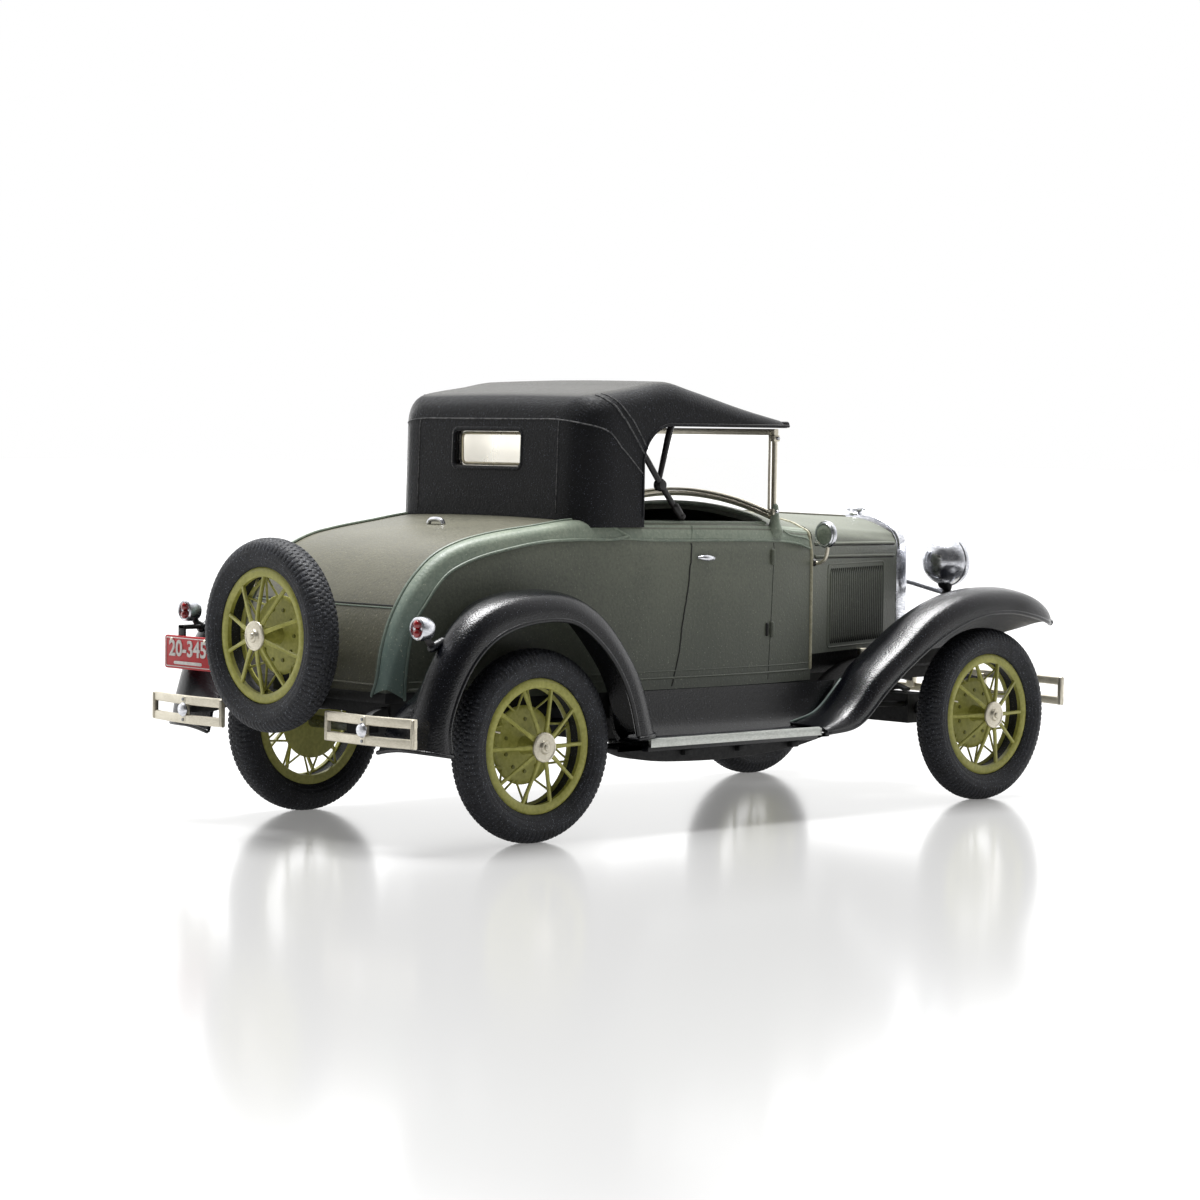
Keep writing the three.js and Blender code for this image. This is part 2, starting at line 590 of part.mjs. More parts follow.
const TAIL_LAMP = [17.05, 43.9, 19.6];
const tailLampBowl = [[0, 0.55], [0.7, 0.5], [1.05, 0.3], [1.05, -0.5], [0.6, -1.1], [0, -1.1]];
addPair(
  "tail_lamp",
  joined(
    facingRear(turned(tailLampBowl, 16)).translate(...TAIL_LAMP),
    bar([point(17.05, 43.2, 19), point(16.8, 42.15, 18)], 0.3, 6),
  ),
  chrome,
);
addPair(
  "tail_lens",
  facingRear(turned([[0, 0], [0.8, 0], [0.75, 0.15], [0, 0.3]], 16))
    .translate(TAIL_LAMP[0], TAIL_LAMP[1] + 0.56, TAIL_LAMP[2]),
  redLens,
);
const PLATE = { x: [11.3, 19.2], y: [45.2, 45.5], z: [13.9, 17] };
addMesh(
  "licence_plate",
  joined(
    box(PLATE.x, PLATE.y, PLATE.z),
    box([15.9, 16.9], [45, 45.3], [16.5, 18.3]),
    box([15.9, 16.9], [43.3, 45.3], [17.9, 18.3]),
  ),
  plateRed,
);

// ---------- fenders ----------
// Each row is one section: [y, z] of the lip, [y, z] of the crown and [x, y, z] of the inner edge.
// The section's outer points: the step in x from the lip, and the share of the way up to the crown.
const SECTION = [[0, 0], [0.03, 0.4], [-0.55, 0.82]];
function fender(rows, lipX, crownX, flank) {
  const grid = rows.map(([[lipY, lipZ], [crownY, crownZ], [innerX, innerY, innerZ]]) => {
    const outer = SECTION.map(([step, up]) =>
      point(lipX(lipY) + step, mix(lipY, crownY, up), mix(lipZ, crownZ, up)),
    );
    const inner = [0, 0.35, 0.7, 1].map((t) =>
      point(mix(crownX, innerX, t), mix(crownY, innerY, t), mix(crownZ, innerZ, t ** flank)),
    );
    return [...outer, ...inner];
  });
  return sheet(grid, -FENDER_THICKNESS);
}
const beside = (y) => bodyHalf(Math.min(y, TAIL_Y)) + 3 * GAP;
// Towards the tail the inner edge turns forward to follow the body, and ends behind it.
const rearRows = [
  [[42.2, 8.6], [45.2, 9.1], [12.6, 45, 8.6]],
  [[42.4, 11], [44.5, 11.9], [12.9, 43.8, 11.4]],
  [[41.2, 14.3], [42.9, 16.2], [beside(38.5), 38.5, 15.2]],
  [[39, 17.3], [40.3, 19.8], [beside(36.8), 36.8, 18.6]],
  [[36.3, 19.1], [37.2, 21.7], [beside(35.2), 35.2, 20.9]],
  [[32.2, 20.05], [32.6, 22.6], [beside(31.8), 31.8, 22]],
  [[28, 19.85], [27.8, 22.4], [beside(27.8), 27.8, 21.9]],
  [[25, 18.1], [24.1, 20.7], [beside(24.1), 24.1, 20.2]],
  [[22.5, 15.5], [21.3, 17.9], [beside(21.3), 21.3, 17.4]],
  [[20.9, 12.6], [19, 14.6], [beside(19), 19, 14.1]],
  [[19.85, 9], [17, 9.3], [beside(17), 17, 8.8]],
];
addPair("rear_fender", fender(rearRows, () => FENDER_LIP_X, 17, 2), fenderPaint);

// At its foot the front fender's inner edge rises along the end of the running board's apron.
const frontRows = [
  [[-4.8, 8.7], [-4.8, 8.85], [14.3, -4.8, 8.85]],
  [[-9.5, 9.4], [-8.2, 10.3], [14.2, -8.4, 9.8]],
  [[-13.7, 12.2], [-11.8, 13.7], [14, -11.9, 12.5]],
  [[-18, 15.1], [-15.9, 16.5], [11.9, -15.9, 14]],
  [[-22.4, 17.4], [-20.2, 19.4], [10.3, -20.2, 14.6]],
  [[-27.2, 18.9], [-25.3, 21.2], [8.9, -25.3, 15]],
  [[-31.6, 19.2], [-31, 21.6], [8.2, -31, 15]],
  [[-35.3, 18.7], [-35.4, 21], [9.4, -35.4, 15.6]],
  [[-38.4, 18], [-38.6, 19.7], [11.6, -38.6, 16.6]],
  [[-40.6, 17.6], [-40.9, 18.1], [13.4, -40.7, 17.5]],
];
const tapering = smooth([[-40.6, 17.1], [-38.4, 18.6], [-35, FENDER_LIP_X], [-4, FENDER_LIP_X]]);
addPair("front_fender", fender(frontRows, tapering, 16.5, 1.6), fenderPaint);

// ---------- running boards ----------
// Its apron reaches up to the sill and forward to a point, and a shallow keel stiffens it from below.
function makeBoard() {
  const apron = [[13.2, 12.7], [13.7, 12.7], [13.9, 10.5], [14.5, 8.2], [13.2, 8.2]];
  const tip = [[BOARD.front, 8.2], [BOARD.front, 12.7], [-11.6, 12.7], [-10.2, 10.8], [-7.5, 9.3]];
  const keel = [[20.8, 7.7], [18, 6.8], [12, 6.4], [5, 6.4], [-2, 6.9], [-6.5, 7.7]];
  return joined(
    crosswise(apron, [BOARD.front, 16.1]),
    lengthwise(tip, [13.2, 13.7]),
    lengthwise(keel, [15, 17.5]),
    box([13.2, BOARD.outer], [BOARD.front, BOARD.rear], [BOARD.under, BOARD.top]),
  );
}
addPair("running_board", makeBoard(), fenderPaint);
const trimX = [BOARD.outer + GAP, BOARD.outer + 0.35];
const trimZ = [BOARD.top - 0.55, BOARD.top + 0.2];
addPair("board_trim", box(trimX, [BOARD.front - 0.1, BOARD.rear], trimZ), chrome);

// ---------- bumpers ----------
const BAR_DEPTH = 0.4;
// Two strips one above the other along a curve in plan, closed by a post at each end and a clamp.
function bumper(plan, middleZ, [stripHeight, slot], posts) {
  const back = plan.map(([x, y]) => [x, y + BAR_DEPTH]).reverse();
  const outline = [...plan, ...back];
  const strips = [-1, 1].map((way) => {
    const near = middleZ + (way * slot) / 2;
    return standing(outline, [near, near + way * stripHeight].sort((a, b) => a - b));
  });
  const reach = slot / 2 + stripHeight;
  const uprights = posts.map(([x, y, width]) =>
    box([x - width / 2, x + width / 2], [y - 0.05, y + BAR_DEPTH + 0.15], [middleZ - reach, middleZ + reach]),
  );
  return [strips, uprights].flat();
}
const frontPlan = range(13).map((i) => {
  const u = i / 6 - 1;
  return [17.5 * u, -42.4 - 2.1 * arch(u)];
});
const frontPosts = [[-17.3, -42.4, 0.4], [0, -44.5, 1], [17.3, -42.4, 0.4]];
addMesh(
  "front_bumper",
  joined(
    ...bumper(frontPlan, 10.55, [0.85, 1.2], frontPosts),
    ...[-1, 1].map((side) => box([side * 5 - 0.4, side * 5 + 0.4], [-44.1, -39.56], [9.6, 12.2])),
  ),
  nickel,
);
const rearPlan = [[7.6, 46.6], [13, 46.85], [19.2, 46]];
const rearPosts = [[7.85, 46.6, 0.5], [13.2, 46.75, 1], [18.95, 46.05, 0.5]];
addPair(
  "rear_bumper",
  joined(
    ...bumper(rearPlan, 11, [0.86, 0.9], rearPosts),
    box([12.6, 13.8], [45.4, 46.9], [10.3, 11.5]),
    box([10.8, 13.8], [45, 45.8], [10.3, 11.5]),
    box([10.2, 11.4], [42.56, 45.8], [10.3, 12.5]),
  ),
  nickel,
);

// ---------- wheels ----------
// A wheel lies in the XY plane with its outer face towards +Z.
function makeWheel() {
  const windows = range(SPOKES).map((k) => {
    const edge = (r, side, turn) => degrees(turn) + side * Math.asin(0.19 / r);
    const [from, to] = [(360 / SPOKES) * k, (360 / SPOKES) * (k + 1)];
    const at = (r, angle) => [r * Math.cos(angle), r * Math.sin(angle)];
    const [a, b] = [edge(WINDOW_R, 1, from), edge(WINDOW_R, -1, to)];
    const root = 1.5; // inner end of the gap
    return [at(root, edge(root, 1, from)), at(WINDOW_R, a), at(WINDOW_R, b), at(root, edge(root, -1, to))];
  });
  const circle = arc([0, 0], RIM_R, 0, 360 - 360 / RIM_SIDES, RIM_SIDES - 1);
  const face = standing(circle, [FACE_OUT - 0.25, FACE_OUT], windows);
  const [well, inner, outer] = [5.35, -1.05, FACE_OUT - 0.1];
  const ring = [[well, inner], [RIM_R, inner], [RIM_R, outer], [well, outer], [well, inner]];
  const barrel = turned(ring, RIM_SIDES);
  const drum = disc(DRUM_R, [-1.2, -0.9], RIM_SIDES);
  const cap = [[HUB_R, 1.3], [0.95, 1.4], [0.9, 1.6], [0.5, CAP_OUT], [0, CAP_OUT]];
  const hub = turned([[0, -1.2], [HUB_R, -1.2], ...cap], 10);
  return joined(face, barrel, drum, hub);
}
const wheel = makeWheel();
const roadWheel = geometryOf(wheel.subtract(solid(disc(PIN_R + GAP, [-2, 0.8], PIN_SIDES))));
const tyreProfile = [
  [RIM_R + 0.07, -1], [7.3, -TYRE_HALF_WIDTH], [8.3, -1.4], [TYRE_R, -0.95],
  [TYRE_R, 0.95], [8.3, 1.4], [7.3, TYRE_HALF_WIDTH], [RIM_R + 0.07, 1], [RIM_R + 0.07, -1],
];
const tyre = turned(tyreProfile, TYRE_SIDES, Math.PI / TYRE_SIDES);

[["front", FRONT_AXLE_Y], ["rear", REAR_AXLE_Y]].forEach(([end, y]) => {
  const pin = disc(PIN_R, [-HALF_TRACK - 0.7, HALF_TRACK + 0.7], PIN_SIDES).rotateY(Math.PI / 2);
  addMesh(`${end}_axle_pin`, pin.translate(0, y, AXLE_Z), steel);
  const onAxle = (geometry) => geometry.clone().rotateY(Math.PI / 2).translate(HALF_TRACK, y, AXLE_Z);
  addPair(`${end}_wheel`, onAxle(roadWheel), wheelPaint);
  addPair(`${end}_tyre`, onAxle(tyre), rubber);
});

addMesh("spare_wheel", facingRear(geometryOf(wheel)).translate(...SPARE), wheelPaint);
addMesh("spare_tyre", facingRear(tyre.clone()).translate(...SPARE), rubber);
addMesh(
  "spare_carrier",
  joined(
    crosswise(arc([0, SPARE[2]], 2.6, 0, 330, 11), [SPARE[1] - 1.66, SPARE[1] - 1.26]),
    box([-1.6, 1.6], [TAIL_Y + GAP, SPARE[1] - 1.4], [13.2, 14.4]),
    box([-1.6, 1.6], [SPARE[1] - 2.2, SPARE[1] - 1.4], [13.2, SPARE[2]]),
    box([-1.6, 1.6], [42.56, 43.9], [11.7, 12.7]),
    box([-1.6, 1.6], [TAIL_Y + GAP, 44.4], [11.7, 14.4]),
  ),
  baseBlack,
);

// ---------- centre the footprint on the origin ----------
const footprint = new THREE.Box3().setFromObject(car, true);
const centre = footprint.getCenter(new THREE.Vector3());
car.position.set(-centre.x, -centre.y, -footprint.min.z);

export default car;
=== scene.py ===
"""A 1:43 collector's model of a 1930s open two-seater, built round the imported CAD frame.

Shapes are laid out in millimetres, with y = 0 midway between the axles, the left side at +x and the front
at -y, as in the CAD source. place() turns them into metres in the row frame.
"""
import math

import bmesh
import bpy
import numpy as np
from mathutils import Matrix, Vector
from mathutils.bvhtree import BVHTree


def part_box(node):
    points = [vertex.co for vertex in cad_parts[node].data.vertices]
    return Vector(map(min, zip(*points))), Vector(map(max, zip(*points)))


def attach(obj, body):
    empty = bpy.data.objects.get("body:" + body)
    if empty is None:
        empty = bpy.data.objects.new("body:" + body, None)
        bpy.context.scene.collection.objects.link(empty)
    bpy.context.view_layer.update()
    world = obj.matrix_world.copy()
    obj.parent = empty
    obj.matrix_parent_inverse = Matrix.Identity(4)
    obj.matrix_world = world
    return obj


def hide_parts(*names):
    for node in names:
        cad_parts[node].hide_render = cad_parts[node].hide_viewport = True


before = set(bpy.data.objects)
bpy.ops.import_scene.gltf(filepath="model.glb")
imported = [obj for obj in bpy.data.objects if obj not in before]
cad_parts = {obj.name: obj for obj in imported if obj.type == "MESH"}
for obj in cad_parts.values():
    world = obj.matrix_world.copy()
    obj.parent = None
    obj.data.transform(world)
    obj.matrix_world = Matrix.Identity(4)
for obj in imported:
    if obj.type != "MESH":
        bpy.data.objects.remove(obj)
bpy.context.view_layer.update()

MM = 0.001


def middle(node):
    low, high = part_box(node)
    return (low + high) / 2


# ---------- driving dimensions, in millimetres ----------
MID_Y = (middle("front_axle_pin").y + middle("rear_axle_pin").y) / 2 / MM
FRONT_AXLE_Y = middle("front_axle_pin").y / MM - MID_Y
REAR_AXLE_Y = middle("rear_axle_pin").y / MM - MID_Y
AXLE_Z = middle("rear_axle_pin").z / MM
HALF_TRACK = middle("rear_tyre_left").x / MM

SPOKES, LOUVRES, SEAT_ROLLS = 10, 28, 14
SILL_Z, COWL_Y, TAIL_Y = 12.8, -9.2, 43.3
COCKPIT = (-2.7, 20.9)
LEDGE, LEAN = 1.25, 0.35
SCREEN_Y, SCREEN_HALF, SCREEN_LOW_Z = -3.4, 13.35, 28.45
TOP_REAR_Y, TOP_FRONT_Y, TOP_WALL = 21.35, -4.9, 0.7
DOORWAY_TOP_Z, DOORWAY_REAR_Y, DOORWAY_CORNER = 37.4, 14.4, 3.6
BONNET_FRONT_Y, BONNET_LOW_Z = -28.1, 15.3
RADIATOR_HALF, RADIATOR_LOW_Z, RADIATOR_TOP_Z, RADIATOR_FRONT_Y = 6.7, 13.2, 28.4, -30.2
LIP_X, FENDER_WALL = 19.3, 0.5
BOARD_FRONT, BOARD_REAR, BOARD_TOP, BOARD_UNDER, BOARD_OUT = -4.3, 18.2, 8.55, 7.6, 18.7
SPARE = (0, 47.2, 18.26)
LAMP = (9, -33.6, 23.9)
TAIL_LAMP = (17.05, 43.9, 19.6)


def place(points):
    """Points in the CAD source's millimetres as metres in the row frame."""
    return (np.asarray(points, float) + (0, MID_Y, 0)) * MM


# ---------- curves and meshes ----------
def smooth(table):
    """A smooth function through the rows (x, value) of a table."""
    x, v = np.array(table, float).T
    slope = np.gradient(v, x) if len(x) > 2 else np.full(2, (v[1] - v[0]) / (x[1] - x[0]))
    slope[1:-1] = (v[2:] - v[:-2]) / (x[2:] - x[:-2])

    def value(at):
        i = np.clip(np.searchsorted(x, at), 1, len(x) - 1)
        span = x[i] - x[i - 1]
        t = np.clip((at - x[i - 1]) / span, 0, 1)
        turn = t * (1 - t) * span * ((1 - t) * slope[i - 1] - t * slope[i])
        return v[i - 1] + (v[i] - v[i - 1]) * t * t * (3 - 2 * t) + turn

    return value


def mix(a, b, t):
    return a + (b - a) * t


def arch(u):
    return 1 - u * u


def unit(v):
    return v / np.maximum(np.linalg.norm(v, axis=-1, keepdims=True), 1e-12)


def spline(points, count):
    """count points spread evenly along a smooth curve through the given ones."""
    points = np.asarray(points, float)
    along = np.r_[0, np.cumsum(np.linalg.norm(np.diff(points, axis=0), axis=1))]
    at = np.linspace(0, along[-1], count)
    return np.stack([smooth(np.c_[along, axis])(at) for axis in points.T], axis=1)


def polar(radius, turn, z):
    return (radius * math.cos(turn), radius * math.sin(turn), z)


def arc(centre, radius, start, stop, count):
    """Points of an arc in a plane, from start to stop degrees."""
    turn = np.radians(np.linspace(start, stop, count))
    return np.c_[centre[0] + radius * np.cos(turn), centre[1] + radius * np.sin(turn)]


def rounded(u, v, radius, steps=5):
    """A rectangle from u[0] to u[1] and v[0] to v[1] with round corners."""
    a, b, c, d = u[0] + radius, u[1] - radius, v[0] + radius, v[1] - radius
    corners = [(b, d, 0), (a, d, 90), (a, c, 180), (b, c, 270)]
    return np.vstack([arc((x, z), radius, turn, turn + 90, steps) for x, z, turn in corners])


def grid(points, wrap=False, capped=False):
    """A net of quads over rows of points, closed round each row by wrap, and at both ends by capped."""
    points = np.asarray(points, float)
    rows, columns = points.shape[:2]
    r, c = np.meshgrid(np.arange(rows - 1), np.arange(columns - (not wrap)), indexing="ij")
    d = (c + 1) % columns
    cells = np.stack([r * columns + c, r * columns + d, (r + 1) * columns + d, (r + 1) * columns + c], -1)
    faces = cells.reshape(-1, 4).tolist()
    if capped:
        faces += [list(range(columns))[::-1], list(range((rows - 1) * columns, rows * columns))]
    return points.reshape(-1, 3), faces


def lofted(rings):
    """A closed form over rings of points."""
    return grid(rings, wrap=True, capped=True)


def sweep(path, section, up=(0, 0, 1)):
    """A closed bar: section's points, sideways and up, carried along a path."""
    path = np.asarray(path, float)
    ahead = unit(np.gradient(path, axis=0))
    side = unit(np.cross(ahead, np.asarray(up, float)))
    above = np.cross(side, ahead)
    section = np.asarray(section, float)
    rings = path[:, None] + side[:, None] * section[None, :, :1] + above[:, None] * section[None, :, 1:]
    return lofted(rings)


def tube(path, radius, sides=10, domed=True):
    """A round bar along a path, with domed ends. The radius may change from point to point."""
    path = np.asarray(path, float)
    radius = np.broadcast_to(np.asarray(radius, float), len(path)).copy()
    if domed:
        first, last = unit(path[0] - path[1]), unit(path[-1] - path[-2])
        steps = np.array([[0.9, 0.44], [0.5, 0.87]])
        start = [path[0] + first * radius[0] * s for s, _ in steps]
        end = [path[-1] + last * radius[-1] * s for s, _ in steps[::-1]]
        path = np.vstack([start, path, end])
        radius = np.r_[radius[0] * steps[:, 1], radius, radius[-1] * steps[::-1, 1]]
    ahead = unit(np.gradient(path, axis=0))
    side = np.cross(ahead[0], (0, 0, 1) if abs(ahead[0][2]) < 0.9 else (1, 0, 0))
    rings = []
    turn = np.linspace(0, 2 * math.pi, sides, endpoint=False)
    for at, forward, r in zip(path, ahead, radius):
        side = unit(side - forward * np.dot(side, forward))
        above = np.cross(forward, side)
        rings.append(at + r * (np.outer(np.cos(turn), side) + np.outer(np.sin(turn), above)))
    return lofted(rings)


AXES = {"x": (1, 2, 0), "y": (2, 0, 1), "z": (0, 1, 2)}


def lathe(profile, sides, axis="z", at=(0, 0, 0)):
    """A turned form from rows (radius, height). A profile that ends where it starts makes a ring."""
    profile = np.asarray(profile, float)
    turn = np.linspace(0, 2 * math.pi, sides, endpoint=False)
    rings = np.empty((len(profile), sides, 3))
    a, b, c = AXES[axis]
    rings[:, :, a] = np.outer(profile[:, 0], np.cos(turn))
    rings[:, :, b] = np.outer(profile[:, 0], np.sin(turn))
    rings[:, :, c] = profile[:, 1:2]
    hollow = np.allclose(profile[0], profile[-1])
    return grid(rings + np.asarray(at, float), wrap=True, capped=not hollow)


def slab(outline, span, axis, bevel=0.08):
    """A flat outline made solid along an axis, with its edges softened."""
    outline = np.asarray(outline, float)
    tangent = unit(np.roll(outline, -1, 0) - np.roll(outline, 1, 0))
    outward = np.c_[tangent[:, 1], -tangent[:, 0]]
    x, y = outline.T
    if np.sum(x * np.roll(y, -1) - np.roll(x, -1) * y) < 0:
        outward = -outward
    low, high = span
    a, b, c = {"x": (1, 2, 0), "y": (0, 2, 1), "z": (0, 1, 2)}[axis]
    rings = np.empty((6, len(outline), 3))
    heights = (low, low + 0.3 * bevel, low + bevel, high - bevel, high - 0.3 * bevel, high)
    for ring, inset, height in zip(rings, (1, 0.3, 0, 0, 0.3, 1), heights):
        ring[:, [a, b]] = outline - outward * inset * bevel
        ring[:, c] = height
    return lofted(rings)


def block(x, y, z, bevel=0.08):
    """A small squared part with soft edges."""
    return slab(rounded(x, z, min(bevel * 1.5, 0.45 * min(x[1] - x[0], z[1] - z[0])), 3), y, "y", bevel)


def thicken(part, depth, inside):
    """A sheet as a closed shell, depth thick. Its outer faces turn away from the point called inside."""
    verts, faces = np.asarray(part[0], float), part[1]
    quads = np.array(faces)
    across = np.cross(verts[quads[:, 2]] - verts[quads[:, 0]], verts[quads[:, 3]] - verts[quads[:, 1]])
    if np.sum(across * (verts[quads[:, 0]] - inside)) < 0:
        faces = [f[::-1] for f in faces]
        across = -across
    normal = np.zeros_like(verts)
    for corner in range(4):
        np.add.at(normal, quads[:, corner], across)
    under = verts - unit(normal) * depth
    count = len(verts)
    edges = {edge: None for f in faces for edge in zip(f, [*f[1:], f[0]])}
    rim = [[b, a, a + count, b + count] for a, b in edges if (b, a) not in edges]
    return np.vstack([verts, under]), [*faces, *[[i + count for i in f[::-1]] for f in faces], *rim]


def moved(part, matrix):
    verts, faces = part
    m = np.array(matrix)
    return np.asarray(verts) @ m[:3, :3].T + m[:3, 3], faces


def mirrored(part):
    """part's mirror image across the car."""
    return np.asarray(part[0]) * (-1, 1, 1), [f[::-1] for f in part[1]]


def closed(points):
    """An outline that runs on past its start, for a tube with no ends."""
    return np.vstack([points, points[:2]])


def cut(part, cutters):
    """part with every cutter taken away from it."""
    target = bare_object("cut_target", part)
    tools = [bare_object(f"cut_tool_{i}", c) for i, c in enumerate(cutters)]
    for tool in tools:
        modifier = target.modifiers.new("cut", "BOOLEAN")
        modifier.operation, modifier.solver, modifier.object = "DIFFERENCE", "EXACT", tool
    mesh = bpy.data.meshes.new_from_object(target.evaluated_get(bpy.context.evaluated_depsgraph_get()))
    made = np.array([v.co for v in mesh.vertices]), [list(p.vertices) for p in mesh.polygons]
    for o in [target, *tools]:
        bpy.data.objects.remove(o)
    return made


def linked(name, data):
    obj = bpy.data.objects.new(name, data)
    bpy.context.scene.collection.objects.link(obj)
    return obj


def bare_object(name, part):
    mesh = bpy.data.meshes.new(name)
    mesh.from_pydata(np.asarray(part[0]).tolist(), [], part[1])
    clean(mesh)
    return linked(name, mesh)


def clean(mesh):
    weld = 1e-7
    net = bmesh.new()
    net.from_mesh(mesh)
    bmesh.ops.remove_doubles(net, verts=net.verts, dist=weld)
    bmesh.ops.dissolve_degenerate(net, edges=net.edges, dist=weld)
    bmesh.ops.recalc_face_normals(net, faces=net.faces)
    net.to_mesh(mesh)
    net.free()


class Surface:
    """Rays on to a surface, for laying beads and seams on it."""

    def __init__(self, part):
        self.tree = BVHTree.FromPolygons(np.asarray(part[0]).tolist(), part[1])

    def hit(self, origin, direction):
        found, normal, _, _ = self.tree.ray_cast(Vector(origin), Vector(direction))
        if found is None:
            found, normal, _, _ = self.tree.find_nearest(Vector(origin))
        if normal.dot(Vector(direction)) < 0:
            normal = -normal
        return np.array(found), np.array(normal)

    def from_inside(self, origins, targets, lift=0.0):
        """Where rays from inside meet the surface, stood off it by lift."""
        hits = [self.hit(o, np.subtract(t, o)) for o, t in zip(origins, targets)]
        return np.array([p + lift * n for p, n in hits])

    def from_outside(self, points, inward):
        """Points pulled on to the surface along a direction that goes in."""
        return np.array([self.hit(p, inward)[0] for p in np.subtract(points, np.multiply(8, inward))])


class Piece:
    """Parts gathered into one named object, each with its material or else the slot's own finish.
    It stands for the CAD node of its name unless stands_for says otherwise."""

    def __init__(self, name, slot, body="model", stands_for=None):
        self.name, self.slot, self.body = name, slot, body
        self.stands_for = [name] if stands_for is None else stands_for
        self.verts, self.faces, self.marks, self.materials = [], [], [], []
        self.count = 0

    def add(self, part, material=None):
        verts, faces = part
        material = material or FINISH[self.slot]
        if material not in self.materials:
            self.materials.append(material)
        self.verts.append(np.asarray(verts, float))
        self.faces += [[i + self.count for i in f] for f in faces]
        self.marks += [self.materials.index(material)] * len(faces)
        self.count += len(verts)
        return self

    def both(self, part, material=None):
        return self.add(part, material).add(mirrored(part), material)

    def make(self, sharp=35):
        mesh = bpy.data.meshes.new(self.name)
        mesh.from_pydata(place(np.vstack(self.verts)).tolist(), [], self.faces)
        for name in self.materials:
            mesh.materials.append(MATERIALS[name])
        mesh.polygons.foreach_set("material_index", self.marks)
        clean(mesh)
        mesh.shade_smooth()
        mesh.set_sharp_from_angle(angle=math.radians(sharp))
        obj = linked(self.name, mesh)
        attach(obj, self.body)
        if self.stands_for:
            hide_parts(*self.stands_for)

    def pair(self, sharp=35):
        """Makes the piece and its mirror image, whose names say right for left."""
        other = Piece(self.name.replace("left", "right"), self.slot, self.body,
                      [node.replace("left", "right") for node in self.stands_for])
        other.verts, other.faces = mirrored((np.vstack(self.verts), self.faces))
        other.marks, other.materials = self.marks, self.materials
        self.make(sharp)
        other.make(sharp)


# ---------- materials ----------
MATERIALS = {}
FINISH = {
    "body_paint": "body_olive", "fender_black": "fender_satin", "chassis_black": "base_black",
    "cabin_black": "cabin_black", "top_black": "top_grain", "clear_glazing": "clear_pane",
    "red_lens": "lens_red",
    "plate_red": "plate_red", "warm_nickel": "nickel_warm", "bright_plate": "strip_bright",
    "wheel_yellow_green": "wheel_green", "tyre_rubber": "rubber",
}


def linear(rgb):
    """An sRGB colour of 0 to 255 as the linear colour that a shader takes."""
    c = np.array(rgb, float) / 255
    return (*np.where(c <= 0.04045, c / 12.92, ((c + 0.055) / 1.055) ** 2.4), 1.0)


class Nodes:
    """A short way to build one material's nodes."""

    def __init__(self, name):
        self.material = bpy.data.materials.new(name)
        self.material.use_nodes = True
        self.tree = self.material.node_tree
        self.shader = self.tree.nodes["Principled BSDF"]
        self.place = self.new("TexCoord").outputs["Object"]
        MATERIALS[name] = self.material

    def new(self, kind, **values):
        node = self.tree.nodes.new("ShaderNode" + kind)
        for key, value in values.items():
            setattr(node, key, value)
        return node

    def feed(self, socket, value):
        if isinstance(value, bpy.types.NodeSocket):
            self.tree.links.new(value, socket)
        else:
            socket.default_value = value

    def noise(self, size, detail=2.0, stretch=None):
        """Noise whose marks are about size millimetres."""
        node = self.new("TexNoise")
        node.inputs["Scale"].default_value = 1 / (size * MM)
        node.inputs["Detail"].default_value = detail
        at = self.place
        if stretch:
            mapping = self.new("Mapping")
            mapping.inputs["Scale"].default_value = stretch
            self.feed(mapping.inputs["Vector"], at)
            at = mapping.outputs["Vector"]
        self.feed(node.inputs["Vector"], at)
        return node.outputs["Fac"]

    def spread(self, value, low, high, to_low=0.0, to_high=1.0):
        node = self.new("MapRange")
        for socket, number in zip(node.inputs[1:5], (low, high, to_low, to_high)):
            socket.default_value = number
        self.feed(node.inputs["Value"], value)
        return node.outputs["Result"]

    def blend(self, a, b, share):
        node = self.new("Mix", data_type="RGBA")
        for socket, value in ((node.inputs[0], share), (node.inputs[6], a), (node.inputs[7], b)):
            self.feed(socket, value)
        return node.outputs[2]

    def math(self, operation, *values):
        node = self.new("Math", operation=operation)
        for socket, value in zip(node.inputs, values):
            self.feed(socket, value)
        return node.outputs[0]

    def set(self, **values):
        for key, value in values.items():
            self.feed(self.shader.inputs[key.replace("_", " ")], value)

    def bump(self, height, depth):
        """Bumps whose full height is depth millimetres."""
        node = self.new("Bump")
        node.inputs["Distance"].default_value = depth * MM
        self.feed(node.inputs["Height"], height)
        self.feed(self.shader.inputs["Normal"], node.outputs["Normal"])


